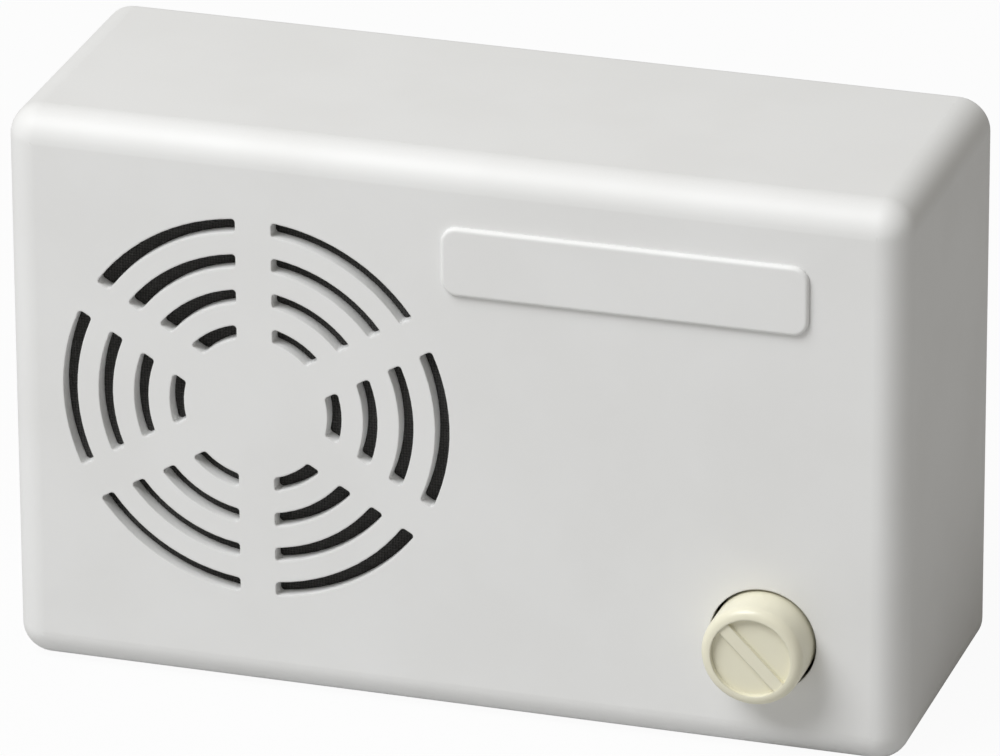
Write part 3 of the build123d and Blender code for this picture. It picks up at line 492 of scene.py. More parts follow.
# Dust cap: a pressed felt dome, with the bead of black glue that holds its edge to the cone.
dress(
    skinned("cap_paper", pressed_fibres, (0.03, 0.03, 0.032), 0.7,
            {"Fibre Size": 0.8, "Fibre Depth": 0.06, "Fleck": 0.25}),
    "dust_cap",
)
cap_radius, cap_back, _ = round_size("dust_cap")
bead_radius = 0.3 * mm
bead_height = cap_back + 0.1 * mm
bead_points = [
    (cap_radius + bead_radius * math.cos(angle), bead_height + bead_radius * math.sin(angle))
    for angle in [2 * math.pi * share for share in shares(12)]
]
shape = bmesh.new()
turn(shape, bead_points, speaker_centre)
black_glue = skinned("black_glue", moulded_skin, (0.012, 0.012, 0.012), 0.22,
                     {"Grain Size": 1.2, "Grain Depth": 0.05, "Edge Wear": 0.0, "Dust": 0.15})
new_piece("cap_glue_bead", shape, [black_glue], "speaker_cone")


# Voice coil: a kraft paper former with two layers of fine enamelled copper wire near its end.
kraft_colour = (0.4, 0.25, 0.12)
copper_colour = (0.62, 0.22, 0.08)
winding_height = 4.6 * mm
wire_pitch = 0.16 * mm
wire_depth = 0.05 * mm
winding_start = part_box("voice_coil")[1].y - winding_height
coil_finish, coil_shader = new_finish("kraft_former", kraft_colour, 0.7)
tree = coil_finish.node_tree
along = coordinate(tree, "Y")
wound = step_between(tree, along, winding_start, winding_start + wire_pitch)
turns = calc(tree, "SINE", calc(tree, "MULTIPLY", along, 2 * math.pi / wire_pitch))
fibre = add(tree, "TexNoise", {"Scale": 1500.0, "Detail": 5.0}).outputs[0]
coil_height = mix_values(tree, wound, fibre, turns)
give(tree, coil_shader.inputs,
     Base_Color=mix_colours(tree, wound, (*kraft_colour, 1), (*copper_colour, 1)),
     Metallic=wound, Roughness=mix_values(tree, wound, 0.75, 0.3),
     Normal=add(tree, "Bump", {"Distance": wire_depth, "Height": coil_height}).outputs[0])
dress(coil_finish, "voice_coil")


# Surround and spider: two rings of woven cotton, pressed hot. The surround is coated black and
# carries the cone's rim in one half roll, and the amber spider centres the coil with four waves.
def make_woven_cloth():
    """Plain-woven cloth: threads that cross over and under, with loose fuzz."""
    tree, taken, given = new_group("woven_cloth", {
        "Thread": 0.3, "Thread Depth": 0.05, "Fade": 0.3,
    })
    wander_scale, fuzz_scale = 260.0, 9000.0
    wander_reach = 0.12 * mm
    fuzz_roughness = 0.15
    pale_share = 0.3
    pale_thread = (0.8, 0.78, 0.74, 1)
    place = add(tree, "TexCoord").outputs["Object"]
    scale = calc(tree, "DIVIDE", 1 / mm, taken["Thread"])
    wander = add(tree, "TexNoise", {"Vector": place, "Scale": wander_scale}).outputs["Color"]
    shifted = add(tree, "VectorMath", {0: wander, 1: (wander_reach,) * 3, 2: place},
                  operation="MULTIPLY_ADD")
    counted = add(tree, "VectorMath", {0: shifted.outputs[0], "Scale": scale}, operation="SCALE")
    axes = add(tree, "SeparateXYZ", {0: counted.outputs[0]}).outputs
    warp, weft = [
        calc(tree, "SINE", calc(tree, "MULTIPLY", calc(tree, "FRACT", way), math.pi))
        for way in (axes["X"], axes["Z"])
    ]
    flat = add(tree, "CombineXYZ", {0: axes["X"], 1: 0.5, 2: axes["Z"]}).outputs[0]
    over = add(tree, "TexChecker", {"Vector": flat, "Scale": 1.0}).outputs["Fac"]
    crossings = [
        calc(tree, "MULTIPLY", upper, calc(tree, "MULTIPLY_ADD", lower, 0.4, 0.6))
        for upper, lower in ((warp, weft), (weft, warp))
    ]
    height = mix_values(tree, over, *crossings)
    fuzz = mottle(tree, place, fuzz_scale, 3.0)
    faded = calc(tree, "MULTIPLY", calc(tree, "MULTIPLY", height, fuzz), taken["Fade"])
    lighter = mix_colours(tree, pale_share, taken["Colour"], pale_thread)
    colour = mix_colours(tree, faded, taken["Colour"], lighter)
    roughness = calc(tree, "MULTIPLY_ADD", fuzz, fuzz_roughness, taken["Roughness"])
    return finish_group(tree, given, colour, roughness, taken["Thread Depth"], height)


def cloth_ring(name, profile, thickness, material, node):
    """A cloth ring in eight equal parts. Each bends from the cone, inside, to the basket."""
    parts = 8
    half = math.pi / parts
    for part in range(parts):
        angle = 2 * math.pi * part / parts
        shape = turned_sheet(profile, thickness, start=angle - half, sweep=2 * half, steps=20)
        piece = new_piece(f"{name}_{part + 1}", shape, [material], None, [node])
        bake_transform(piece)


woven_cloth = make_woven_cloth()
cloth_thickness = 0.28 * mm
surround_outer, surround_back, _ = round_size("cone_surround")
surround_seat = surround_back + cloth_thickness
surround_inner = cone_radius - 1.2 * mm
roll_middle = 23.25 * mm
roll_radius = 1.6 * mm
roll_land = 0.3 * mm
roll_points = [
    (roll_middle - roll_radius * math.cos(angle), surround_seat + roll_radius * math.sin(angle))
    for angle in [math.pi * share for share in shares(24)]
]
cloth_ring(
    "surround_part",
    [(surround_inner, surround_seat), (cone_radius, surround_seat), *roll_points,
     (roll_middle + roll_radius + roll_land, surround_seat), (surround_outer, surround_seat)],
    cloth_thickness,
    skinned("coated_cloth", woven_cloth, (0.018, 0.018, 0.018), 0.55,
            {"Thread": 0.28, "Thread Depth": 0.02, "Fade": 0.25}),
    "cone_surround",
)
spider_outer, spider_back, _ = round_size("speaker_spider")
spider_seat = spider_back + cloth_thickness
spider_neck = 7.6 * mm
spider_land = 13.8 * mm
spider_waves = 4
spider_wave = 0.33 * mm
spider_points = [(cone_neck_radius, spider_seat)]
for share in shares(64):
    rise = spider_wave * (1 - math.cos(2 * math.pi * spider_waves * share))
    spider_points.append((spider_neck + share * (spider_land - spider_neck), spider_seat + rise))
spider_points.append((spider_outer, spider_seat))
cloth_ring(
    "spider_part", spider_points, cloth_thickness,
    skinned("varnished_cloth", woven_cloth, (0.45, 0.3, 0.1), 0.5,
            {"Thread": 0.35, "Thread Depth": 0.05, "Fade": 0.5}),
    "speaker_spider",
)


# Gasket: a ring cut from open-celled black foam. It is squeezed between the surround's rim and
# the cover's cloth, so its sides bulge a little.
def make_cut_foam():
    """Open-celled foam: round pits in relief, with painted shade darkening the inside of each pit.
    """
    tree, taken, given = new_group("cut_foam", {"Cell Size": 0.5, "Cell Depth": 0.1})
    pit_shade_colour = (0.005, 0.005, 0.005, 1)
    place = add(tree, "TexCoord").outputs["Object"]
    scale = calc(tree, "DIVIDE", 1 / mm, taken["Cell Size"])
    cells = add(tree, "TexVoronoi", {"Vector": place, "Scale": scale, "Randomness": 1.0})
    skin = step_between(tree, cells.outputs["Distance"], 0.1, 0.6)
    # Painted shade: the pits take a darker colour than the skin between them, as shade in the
    # hollows.
    colour = mix_colours(tree, skin, pit_shade_colour, taken["Colour"])
    return finish_group(tree, given, colour, taken["Roughness"], taken["Cell Depth"], skin)


cut_foam = make_cut_foam()
gasket_outer, gasket_back, gasket_front = round_size("speaker_gasket")
gasket_inner = gasket_outer - 1.5 * mm
gasket_bulge = 0.15 * mm
gasket_points = []
for side, inward, way in ((gasket_outer, -1, 1), (gasket_inner, 1, -1)):
    for share in shares(10)[::way]:
        drawn_in = gasket_bulge * (1 - math.sin(math.pi * share))
        height = gasket_back + share * (gasket_front - gasket_back)
        gasket_points.append((side + inward * drawn_in, height))
gasket_points.append(gasket_points[0])
shape = bmesh.new()
turn(shape, gasket_points, speaker_centre, steps=144)
foam_gasket = new_piece(
    "foam_gasket", shape,
    [skinned("gasket_foam", cut_foam, (0.03, 0.03, 0.032), 0.95, {"Cell Size": 0.45})],
    "base", ["speaker_gasket"],
)


# Clamp washers and all the small screws: nickel-plated steel, turned and cold-headed.
dress(
    plated("nickel_plate", (0.68, 0.67, 0.64), 0.24, line_depth=0.003, tarnish=0.15),
    "speaker_clamps", "speaker_screws", "board_screws", "holder_screws", "terminal_screws",
)


# Tag strip: a slip of brown fibre board riveted to the basket, with two tinned tags. Each tag has
# a bead of solder round the end of its lead.
dress(
    skinned("fibre_board", pressed_fibres, (0.2, 0.09, 0.035), 0.62,
            {"Fibre Size": 0.7, "Fibre Depth": 0.02, "Fleck": 0.4}),
    "speaker_tag_strip",
)
dress(plated("tinned_brass", (0.66, 0.65, 0.6), 0.28, line_depth=0.002, tarnish=0.25),
      "speaker_tags")
solder_finish = plated("solder", (0.56, 0.56, 0.57), 0.2, line_depth=0.008, tarnish=0.1,
                       edge_radius=0.05)
tag_low, tag_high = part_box("speaker_tags")
tag_z = (tag_low.z + tag_high.z) / 2
tag_half_width = 1 * mm
solder_radius = 0.85 * mm
solder_stretch = (1, 1.5, 0.85)
lump_share = 0.12
lump_count = 1.3
shape = bmesh.new()
for tag_x in (tag_low.x + tag_half_width, tag_high.x - tag_half_width):
    bead = bmesh.ops.create_icosphere(shape, subdivisions=4, radius=solder_radius)["verts"]
    for point in bead:
        lumps = point.co / solder_radius * lump_count + Vector((tag_x / mm, 0, 0))
        point.co *= 1 + lump_share * noise.noise(lumps)
    bmesh.ops.scale(shape, verts=bead, vec=solder_stretch)
    bmesh.ops.translate(shape, verts=bead, vec=(tag_x, tag_high.y - solder_radius / 2, tag_z))
new_piece("tag_solder", shape, [solder_finish], "base")


# Battery holder: a tray moulded in black polypropylene, with nickel contact plates and springs.
dress(
    skinned("holder_moulding", moulded_skin, (0.022, 0.022, 0.023), 0.46,
            {"Grain Size": 0.5, "Grain Depth": 0.02, "Cloud": 0.15, "Edge Wear": 0.08,
             "Dust": 0.2}),
    "battery_holder",
)
dress(
    plated("contact_nickel", (0.7, 0.69, 0.65), 0.25, line_depth=0.002, tarnish=0.12,
           edge_radius=0.05),
    "battery_contacts", "battery_springs",
)


# Cells: steel cans in a printed shrink sleeve, which is plain here: a copper band at the plus
# end, a fine pale line, and black for the rest. The sleeve laps over both ends of the can.
def cell_sleeve(node, plus_end, direction):
    """The sleeve and the bare steel of one cell, by distance from its plus end and its axis."""
    band_end, line_width, lap_radius, edge = 14.0, 0.8, 6.1, 0.05
    lap_step = 0.03 * mm
    scuff_scale, scuff_share = 700.0, 0.09
    band_metal_share = 0.7
    steel_colour = (0.62, 0.61, 0.58, 1)
    band_colour = (0.55, 0.24, 0.08, 1)
    line_colour = (0.75, 0.73, 0.68, 1)
    black_colour = (0.018, 0.018, 0.02, 1)
    scuff_colour = (0.4, 0.4, 0.4, 1)
    low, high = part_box(node)
    material, shader = new_finish(node + "_sleeve", (0.03, 0.03, 0.03), 0.25)
    tree = material.node_tree
    axis = (plus_end, (low.y + high.y) / 2, (low.z + high.z) / 2)
    centred = add(tree, "VectorMath", {0: add(tree, "TexCoord").outputs["Object"], 1: axis},
                  operation="SUBTRACT").outputs[0]
    along = add(tree, "SeparateXYZ", {0: centred}).outputs["X"]
    along = calc(tree, "MULTIPLY", along, direction / mm)
    off_axis = add(tree, "VectorMath", {0: centred, 1: (0, 1 / mm, 1 / mm)},
                   operation="MULTIPLY").outputs[0]
    radius = add(tree, "VectorMath", {0: off_axis}, operation="LENGTH").outputs["Value"]
    past_band = step_between(tree, along, band_end, band_end + edge)
    past_line = step_between(tree, along, band_end + line_width, band_end + line_width + edge)
    sleeve = mix_colours(tree, past_band, band_colour, line_colour)
    sleeve = mix_colours(tree, past_line, sleeve, black_colour)
    rubbed = mottle(tree, centred, scuff_scale, 6.0)
    scuff = calc(tree, "MULTIPLY", step_between(tree, rubbed, 0.56, 0.8), scuff_share)
    sleeve = mix_colours(tree, scuff, sleeve, scuff_colour)
    sleeved = step_between(tree, radius, lap_radius, lap_radius + edge)
    band_metal = calc(tree, "MULTIPLY", calc(tree, "SUBTRACT", 1.0, past_band), band_metal_share)
    sleeve_roughness = calc(tree, "MULTIPLY_ADD", rubbed, 0.2, 0.15)
    give(tree, shader.inputs, Base_Color=mix_colours(tree, sleeved, steel_colour, sleeve),
         Metallic=mix_values(tree, sleeved, 1.0, band_metal),
         Roughness=mix_values(tree, sleeved, 0.3, sleeve_roughness),
         Normal=add(tree, "Bump", {"Distance": lap_step, "Height": sleeved}).outputs[0])
    dress(material, node)


for number in (1, 2, 3):
    cell = f"battery_{number}"
    cell_low, cell_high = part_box(cell)
    if number % 2:
        cell_sleeve(cell, cell_low.x, 1)
    else:
        cell_sleeve(cell, cell_high.x, -1)


# Circuit board: tan paper laminate. Its copper tracks are on the far side under green lacquer, and
# show as faint bands through the front. A blob of black resin covers the chime chip.
board_finish = skinned("paper_laminate", pressed_fibres, (0.42, 0.27, 0.1), 0.42,
                       {"Fibre Size": 0.9, "Fibre Depth": 0.006, "Fleck": 0.2})
track_scale = 240.0
track_randomness = 0.75
shade_strength = 0.35
shade_colour = (0.2, 0.11, 0.035, 1)
track_colour = (0.09, 0.3, 0.09, 1)
gap_colour = (0.035, 0.1, 0.03, 1)
tree = board_finish.node_tree
board_sockets = tree.nodes["Principled BSDF"].inputs
plain_colour = board_sockets["Base Color"].links[0].from_socket
tracks = add(
    tree, "TexVoronoi",
    {"Vector": add(tree, "TexCoord").outputs["Object"], "Scale": track_scale,
     "Randomness": track_randomness},
    feature="F2", distance="MANHATTAN",
).outputs["Distance"]
shade_share = calc(tree, "MULTIPLY", step_between(tree, tracks, 0.95, 1.0), shade_strength)
front_colour = mix_colours(tree, shade_share, plain_colour, shade_colour)
back_colour = mix_colours(tree, step_between(tree, tracks, 0.9, 0.96), track_colour, gap_colour)
at_back = calc(tree, "GREATER_THAN", coordinate(tree, "Y", "Normal"), 0.5)
give(tree, board_sockets, Base_Color=mix_colours(tree, at_back, front_colour, back_colour))
dress(board_finish, "circuit_board")
dress(
    skinned("chip_resin", moulded_skin, (0.008, 0.008, 0.009), 0.16,
            {"Grain Size": 2.5, "Grain Depth": 0.08, "Cloud": 0.05, "Edge Wear": 0.0,
             "Dust": 0.25}),
    "chime_chip",
)


# Volume control, its shaft, the terminal block and the sockets and plugs: small mouldings.
dress(
    skinned("control_housing", moulded_skin, (0.035, 0.05, 0.1), 0.42,
            {"Grain Size": 0.4, "Cloud": 0.1, "Edge Wear": 0.15, "Dust": 0.3}),
    "volume_control_body",
)
dress(
    skinned("shaft_nylon", moulded_skin, (0.78, 0.76, 0.69), 0.42,
            {"Grain Size": 0.6, "Cloud": 0.08}, Subsurface_Weight=0.1),
    "volume_shaft",
)
dress(
    skinned("terminal_nylon", moulded_skin, (0.03, 0.16, 0.06), 0.4,
            {"Grain Size": 0.5, "Cloud": 0.12, "Edge Wear": 0.15, "Dust": 0.3}),
    "terminal_block",
)
dress(
    skinned("connector_nylon", moulded_skin, (0.78, 0.75, 0.66), 0.44,
            {"Grain Size": 0.5, "Cloud": 0.08, "Dust": 0.3}, Subsurface_Weight=0.1),
    "lead_sockets", "lead_plugs",
)


# Electrolytic capacitors: aluminium cans on a rubber bung, rolled in above it. Each wears a blue
# shrink sleeve with a pale stripe, and its bare top is scored with a cross so that it can vent.
def on_board(across_share, up_share):
    """A place on the circuit board, as shares of its width and its height."""
    return (board_low.x + across_share * (board_high.x - board_low.x),
            board_low.z + up_share * (board_high.z - board_low.z))


board_low, board_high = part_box("circuit_board")
board_face = -board_low.y
can_low, can_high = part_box("electrolytic_capacitors")
can_radius = (can_high.z - can_low.z) / 2
can_top = -can_low.y
can_z = (can_low.z + can_high.z) / 2
can_places = ((can_low.x + can_radius, can_z), (can_high.x - can_radius, can_z))
bung_rise = 0.35
stripe_half_angle = math.radians(24)
top_radius = 2.45 * mm
top_lip = 0.05 * mm
top_drop = 0.1 * mm
lip_drop = 0.12 * mm
score_half_width = 0.13 * mm
score_reach = 1.9 * mm
score_depth = 0.16 * mm
# The sleeve's outline: how far in from its side, and how far up from the board or down from the
# top, in millimetres
foot_outline = (
    (0.5, 0), (0.5, bung_rise), (0.12, bung_rise), (0, 0.5), (0, 0.85), (0.12, 1.0),
    (0.3, 1.2), (0.12, 1.4), (0, 1.55),
)
shoulder_outline = ((0, 0.5), (0.06, 0.25), (0.22, 0.06), (0.45, 0))
sleeve_points = [
    (0, board_face),
    *[(can_radius - inset * mm, board_face + rise * mm) for inset, rise in foot_outline],
    *[(can_radius - inset * mm, can_top - drop * mm) for inset, drop in shoulder_outline],
    (top_radius, can_top), (top_radius - top_lip, can_top - lip_drop),
]
shape = bmesh.new()
for can_place in can_places:
    turn(shape, sleeve_points, can_place, steps=60)
for face in shape.faces:
    seat = face.calc_center_median()
    can_x = min((place[0] for place in can_places), key=lambda x: abs(x - seat.x))
    from_stripe = abs(math.atan2(seat.z - can_z, seat.x - can_x) - math.pi / 2)
    if -seat.y < board_face + bung_rise * mm:
        face.material_index = 2
    elif from_stripe < stripe_half_angle:
        face.material_index = 1
can_sleeve, can_stripe = [
    skinned(name, moulded_skin, colour, roughness,
            {"Grain Size": 1.5, "Grain Depth": 0.01, "Cloud": 0.2, "Edge Wear": 0.1})
    for name, colour, roughness in (("can_sleeve", (0.015, 0.03, 0.12), 0.24),
                                    ("can_stripe", (0.62, 0.64, 0.68), 0.26))
]
bung_rubber = skinned("bung_rubber", moulded_skin, (0.02, 0.02, 0.02), 0.7, {"Edge Wear": 0.0})
new_piece("capacitor_sleeves", shape, [can_sleeve, can_stripe, bung_rubber],
          "base", ["electrolytic_capacitors"])

# The tops, with a cross pressed into each. One pair of cuts along the row serves both cans.
shape = bmesh.new()
for can_place in can_places:
    turn(shape, [(top_radius * share, can_top - top_drop) for share in shares(12)], can_place,
         steps=48)
cuts = [((can_x + side * score_half_width, 0, can_z), (1, 0, 0))
        for can_x, _ in can_places for side in (-1, 1)]
cuts += [((can_places[0][0], 0, can_z + side * score_half_width), (0, 0, 1)) for side in (-1, 1)]
for cut_point, cut_normal in cuts:
    bmesh.ops.bisect_plane(
        shape, geom=shape.verts[:] + shape.edges[:] + shape.faces[:], dist=0.0001 * mm,
        plane_co=cut_point, plane_no=cut_normal,
    )
scored = []
for face in shape.faces:
    seat = face.calc_center_median()
    for can_x, _ in can_places:
        away = sorted((abs(seat.x - can_x), abs(seat.z - can_z)))
        if away[0] < score_half_width and away[1] < score_reach:
            scored.append(face)
            break
pressed_in = bmesh.ops.extrude_face_region(shape, geom=scored)["geom"]
bmesh.ops.delete(shape, geom=scored, context="FACES")
bmesh.ops.translate(
    shape, verts=[part for part in pressed_in if isinstance(part, bmesh.types.BMVert)],
    vec=(0, score_depth, 0),
)
can_metal = plated("can_metal", (0.72, 0.72, 0.73), 0.3, line_depth=0.006, tarnish=0.1,
                   edge_radius=0.04)
new_piece("capacitor_tops", shape, [can_metal], "base", sharp=25)


# Resistors: a lacquered ceramic rod with a cap pressed on each end, which gives the dog-bone
# shape, and plain colour bands. Their tinned wires bend down into the board.
def cords(name, routes, radius, finish, stands_for, steps=6, sides=3):
    """Wires or leads that lie still, each on one smooth line through its points."""
    curve = bpy.data.curves.new(name, "CURVE")
    curve.dimensions = "3D"
    curve.resolution_u = steps
    curve.bevel_depth = radius
    curve.bevel_resolution = sides
    curve.use_fill_caps = True
    for route in routes:
        spline = curve.splines.new("NURBS")
        spline.points.add(len(route) - 1)
        for knot, point in zip(spline.points, route):
            knot.co = (*point, 1)
        spline.order_u = 3
        spline.use_endpoint_u = True
    curve.materials.append(finish)
    piece = bpy.data.objects.new(name, curve)
    scene.collection.objects.link(piece)
    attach(piece, "base")
    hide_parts(stands_for)


wire_colour = (0.66, 0.66, 0.65)
wire_roughness = 0.3
wire_finish = plated("tinned_wire", wire_colour, wire_roughness, line_depth=0.003, tarnish=0.2,
                     edge_radius=0.03)
wire_radius = 0.29 * mm
rod_radius = 0.92 * mm
rod_cap_radius = 1.1 * mm
rod_half = 2.9 * mm
rod_neck = 0.9 * mm
rod_swell = 0.8 * mm
rod_shoulder = 2.2 * mm
rod_end_share = 0.06
rod_lift = 1.3 * mm
wire_span = 3.8 * mm
wire_bend = 0.6 * mm
wire_drop = 0.8 * mm
wire_grip = 0.4 * mm
rod_step = 0.05 * mm
rod_steps = round(rod_half / rod_step)
band_starts = (-2.0 * mm, -1.0 * mm, -0.2 * mm, 1.6 * mm)
band_width = 0.4 * mm
rod_places = ((0.517, 0.933, "X"), (0.517, 0.812, "X"), (0.674, 0.554, "Z"))
rod_points = []
for step in range(-rod_steps, rod_steps + 1):
    along = step * rod_step
    capped = min(max((abs(along) - rod_neck) / rod_swell, 0), 1)
    radius = rod_radius + (rod_cap_radius - rod_radius) * capped * capped * (3 - 2 * capped)
    past_shoulder = max(abs(along) - rod_shoulder, 0) / (rod_half - rod_shoulder)
    rod_points.append((radius * math.sqrt(max(1 - past_shoulder ** 2, rod_end_share)), along))
shape = bmesh.new()
rod_routes = []
rod_height = board_face + rod_lift
for across_share, up_share, axis in rod_places:
    x, z = on_board(across_share, up_share)
    rod = bmesh.new()
    turn(rod, rod_points, (0, 0), steps=28)
    for face in rod.faces:
        along = face.calc_center_median().y
        for number, band_start in enumerate(band_starts):
            if band_start < along < band_start + band_width:
                face.material_index = number + 1
    tilt = Matrix.Rotation(math.pi / 2, 4, "Z" if axis == "X" else "X")
    bmesh.ops.transform(
        rod, verts=rod.verts, matrix=Matrix.Translation((x, -rod_height, z)) @ tilt
    )
    rod_mesh = bpy.data.meshes.new("rod")
    rod.to_mesh(rod_mesh)
    rod.free()
    shape.from_mesh(rod_mesh)
    bpy.data.meshes.remove(rod_mesh)
    lengthways = Vector((1, 0, 0)) if axis == "X" else Vector((0, 0, 1))
    for side in (-1, 1):
        rod_routes.append([
            Vector((x, 0, z)) + lengthways * side * reach + Vector((0, -lift, 0))
            for reach, lift in (
                (wire_span, board_face), (wire_span, rod_height - wire_drop),
                (wire_span, rod_height), (wire_span - wire_bend, rod_height),
                (rod_half - wire_grip, rod_height),
            )
        ])
band_colours = {
    "band_brown": (0.09, 0.025, 0.008), "band_black": (0.01, 0.01, 0.01),
    "band_orange": (0.7, 0.16, 0.01), "band_gold": (0.45, 0.28, 0.06),
}
rod_finishes = [skinned("rod_lacquer", moulded_skin, (0.62, 0.46, 0.26), 0.34,
                        {"Grain Size": 1.0, "Grain Depth": 0.015, "Cloud": 0.25, "Edge Wear": 0.0})]
rod_finishes += [skinned(name, moulded_skin, colour, 0.3, {"Grain Size": 1.0, "Edge Wear": 0.0})
                 for name, colour in band_colours.items()]
new_piece("resistor_rods", shape, rod_finishes, "base", ["resistors"])
cords("resistor_wires", rod_routes, wire_radius, wire_finish, "resistors")


# Ceramic capacitors: silvered discs dipped in tan resin, which has run a little way down the two
# wires that each stands on.
disc_radius = 2.2 * mm
disc_half_thickness = 0.8 * mm
disc_bluntness = 0.6
disc_height = board_face + 1 * mm + disc_radius
leg_offset = 1.25 * mm
leg_stand = 1 * mm
run_length = 1.5 * mm
run_height = board_face + 1.35 * mm
run_tip_radius = 0.34 * mm
run_top_radius = 0.72 * mm
shape = bmesh.new()
disc_routes = []
for disc_place in ((0.261, 0.5), (0.333, 0.5)):
    x, z = on_board(*disc_place)
    dipped = bmesh.ops.create_icosphere(shape, subdivisions=5, radius=1)["verts"]
    for point in dipped:
        bulge = math.copysign(abs(point.co.x) ** disc_bluntness, point.co.x)
        point.co = (bulge * disc_half_thickness, *[disc_radius * part for part in point.co[1:]])
    bmesh.ops.translate(shape, verts=dipped, vec=(x, -disc_height, z))
    for leg_z in (z - leg_offset, z + leg_offset):
        bmesh.ops.create_cone(
            shape, segments=24, radius1=run_tip_radius, radius2=run_top_radius,
            depth=run_length, cap_ends=True,
            matrix=Matrix.Translation((x, -run_height, leg_z))
            @ Matrix.Rotation(math.pi / 2, 4, "X"),
        )
        disc_routes.append([
            Vector((x, -lift, leg_z)) for lift in (board_face, board_face + leg_stand, disc_height)
        ])
disc_dip = skinned("disc_dip", moulded_skin, (0.5, 0.22, 0.06), 0.4,
                   {"Grain Size": 1.2, "Grain Depth": 0.03, "Cloud": 0.4, "Edge Wear": 0.0})
new_piece("ceramic_discs", shape, [disc_dip], "base", ["ceramic_capacitors"])
cords("disc_wires", disc_routes, wire_radius, wire_finish, "ceramic_capacitors")


# Transistor: black resin moulded round three tinned legs, with one flat side.
transistor_finish = skinned("transistor_resin", moulded_skin, (0.02, 0.02, 0.02), 0.55,
                            {"Grain Size": 0.3, "Grain Depth": 0.02, "Edge Wear": 0.05})
tree = transistor_finish.node_tree
leg_sockets = tree.nodes["Principled BSDF"].inputs
leg_top = board_face + 1.48 * mm
bare = calc(tree, "GREATER_THAN", coordinate(tree, "Y"), -leg_top)
resin_colour = leg_sockets["Base Color"].links[0].from_socket
resin_roughness = leg_sockets["Roughness"].links[0].from_socket
give(tree, leg_sockets, Metallic=bare,
     Base_Color=mix_colours(tree, bare, resin_colour, (*wire_colour, 1)),
     Roughness=mix_values(tree, bare, resin_roughness, wire_roughness))
dress(transistor_finish, "transistor")


# Leads: single cores of tinned wire in soft plastic, red and black, soldered at one end and
# crimped in a plug at the other. Each lies in one easy curve through chosen points, which are in
# millimetres, between its two fixed ends.
lead_radius = 0.55 * mm
lead_colours = {"red": (0.5, 0.012, 0.01), "black": (0.012, 0.012, 0.013)}
lead_finishes = {
    name: skinned(f"{name}_insulation", moulded_skin, colour, 0.36,
                  {"Grain Size": 1.6, "Grain Depth": 0.02, "Edge Wear": 0.0, "Dust": 0.15})
    for name, colour in lead_colours.items()
}
plug_low, plug_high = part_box("lead_plugs")
plug_x = (plug_low.x + plug_high.x) / 2
plug_half_length = 3.1 * mm
pin_offset = 1.25 * mm
speaker_plug_z = plug_low.z + plug_half_length
battery_plug_z = plug_high.z - plug_half_length
contact_low, contact_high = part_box("battery_contacts")
contact_height = -14 * mm
first_row = -3.35 * mm
last_row = 27.35 * mm
lead_runs = (
    ("speaker", "red", (tag_high.x - tag_half_width, tag_high.y, tag_z),
     ((-23.8, -25.0, -27.6), (-18.5, -21.5, -29.5), (-8.0, -20.5, -31.5), (1.5, -24.5, -32.0),
      (8.5, -31.0, -31.6), (14.8, -35.4, -30.7), (19.0, -34.0, -30.15)),
     speaker_plug_z + pin_offset),
    ("speaker", "black", (tag_low.x + tag_half_width, tag_high.y, tag_z),
     ((-30.8, -24.0, -27.6), (-25.0, -18.8, -30.0), (-13.0, -17.5, -33.3), (-1.0, -21.5, -34.3),
      (7.5, -28.5, -34.2), (14.2, -34.4, -33.6), (19.0, -34.2, -32.65)),
     speaker_plug_z - pin_offset),
    ("battery", "red", (contact_low.x, contact_height, first_row),
     ((-4.4, -14.0, -3.35), (-5.6, -17.5, -8.8), (-2.8, -24.5, -13.6), (3.6, -31.4, -16.4),
      (11.6, -35.8, -17.8), (19.0, -34.4, -18.25)),
     battery_plug_z - pin_offset),
    ("battery", "black", (contact_high.x, contact_height, last_row),
     ((58.6, -14.0, 27.35), (58.7, -15.0, 21.0), (58.4, -17.6, 9.0), (58.6, -22.0, -2.5),
      (56.8, -27.6, -10.6), (48.0, -29.6, -13.3), (37.0, -30.6, -13.7), (26.5, -34.2, -14.6),
      (19.0, -34.6, -15.75)),
     battery_plug_z + pin_offset),
)
for use, colour, start, bends, pin_z in lead_runs:
    route = [start, *[Vector(bend) * mm for bend in bends], (plug_x, plug_low.y, pin_z)]
    cords(f"{colour}_{use}_lead", [route], lead_radius, lead_finishes[colour],
          f"{use}_lead_{colour}", steps=10, sides=4)


# Solder joints: the wires and pins go through the board, and each is cut off and soldered to the
# copper behind it, in a small bright cone.
def pins(centre, pitch, steps, axis=0):
    """Evenly spaced places in a row, along x for axis 0 and along z for axis 1."""
    x, z = centre
    return [(x + step * pitch, z) if axis == 0 else (x, z + step * pitch) for step in steps]


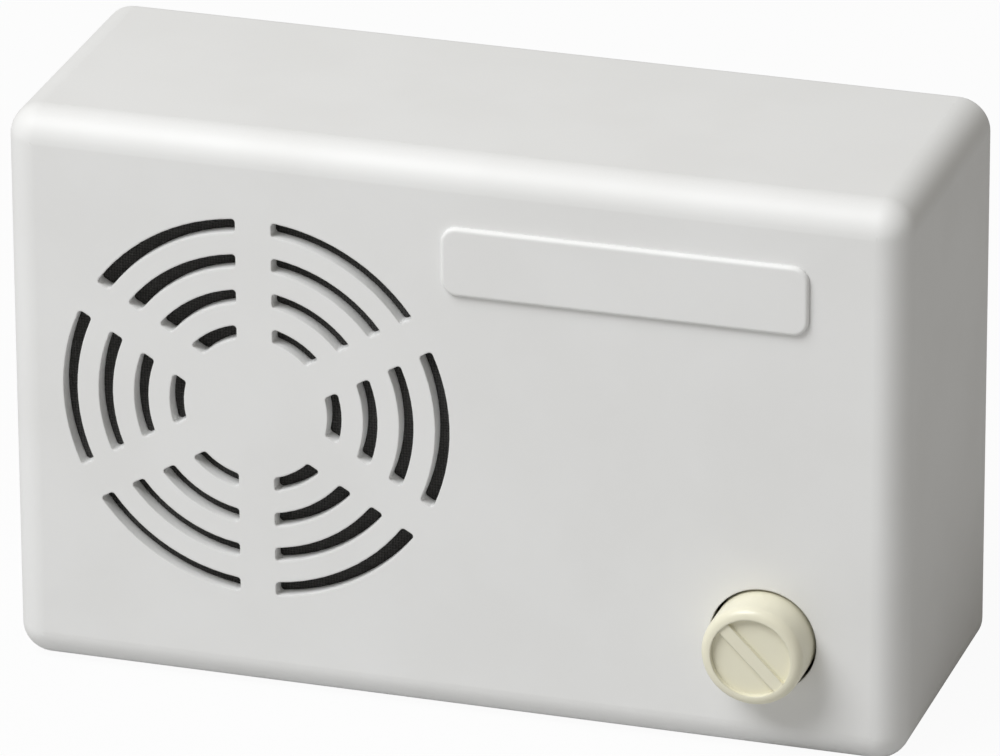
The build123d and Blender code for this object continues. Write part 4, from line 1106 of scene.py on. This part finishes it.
can_pin_offset = 1.25 * mm
transistor_pitch = 1.15 * mm
terminal_pin_offset = 2.5 * mm
control_pitch = 4 * mm
control_pin_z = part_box("volume_control_body")[0].z + 2 * mm
joint_places = [(route[0].x, route[0].z) for route in rod_routes + disc_routes]
for can_place in can_places:
    joint_places += pins(can_place, can_pin_offset, (-1, 1))
joint_places += pins(middle("transistor"), transistor_pitch, (-1, 0, 1))
for plug_z in (speaker_plug_z, battery_plug_z):
    joint_places += pins((plug_x, plug_z), pin_offset, (-1, 1), axis=1)
joint_places += pins(middle("terminal_block"), terminal_pin_offset, (-1, 1), axis=1)
joint_places += pins((middle("volume_control_body")[0], control_pin_z), control_pitch, (-1, 0, 1))
joint_outline = (  # out from the wire and back from the board, in millimetres
    (0, 1.1), (0.24, 1.05), (0.27, 0.75), (0.33, 0.5), (0.48, 0.24), (0.68, 0.08), (0.85, 0),
)
joint_points = [(radius * mm, -board_high.y - rise * mm) for radius, rise in joint_outline]
shape = bmesh.new()
for joint_place in joint_places:
    turn(shape, joint_points, joint_place, steps=20)
new_piece("board_solder", shape, [solder_finish], "base")


# Dust screen: a disc of thin black speaker cloth, cut out and glued inside the cover, where it
# shows through the slots of the grille.
screen_radius, _, screen_seat = round_size("dust_screen")
screen_thickness = 0.3 * mm
screen_margin = 0.04 * mm
screen_front = screen_seat - screen_margin
shape = turned_sheet([(screen_radius * share, screen_front) for share in shares(40)],
                     screen_thickness, steps=120)
bmesh.ops.translate(
    shape, verts=shape.verts,
    vec=(0, -screen_front - min(point.co.y for point in shape.verts), 0),
)
screen_cloth = new_piece(
    "dust_screen_cloth", shape,
    [skinned("speaker_cloth", woven_cloth, (0.006, 0.006, 0.006), 0.85,
             {"Thread": 0.4, "Thread Depth": 0.08, "Fade": 0.4}, Sheen_Weight=0.15)],
    "cover", ["dust_screen"],
)


# Front cover: one satin white moulding, slightly aged, with the grille's arc slots and the bare
# raised strip. The mould left a fine even skin, and its rounded edges are a little rubbed.
dress(
    skinned("cover_moulding", moulded_skin, (0.83, 0.83, 0.825), 0.52,
            {"Grain Size": 0.9, "Grain Depth": 0.006, "Cloud": 0.04, "Edge Radius": 0.3,
             "Edge Wear": 0.1, "Dust": 0.04}),
    "front_cover",
)


# Volume knob: cream plastic, turned by a finger in its dish. It is a little glossier than the
# cover, and its edges are rubbed by handling.
dress(
    skinned("knob_moulding", moulded_skin, (0.83, 0.8, 0.64), 0.3,
            {"Grain Size": 0.7, "Grain Depth": 0.008, "Cloud": 0.08, "Edge Radius": 0.3,
             "Edge Wear": 0.25, "Dust": 0.05}),
    "volume_knob",
)
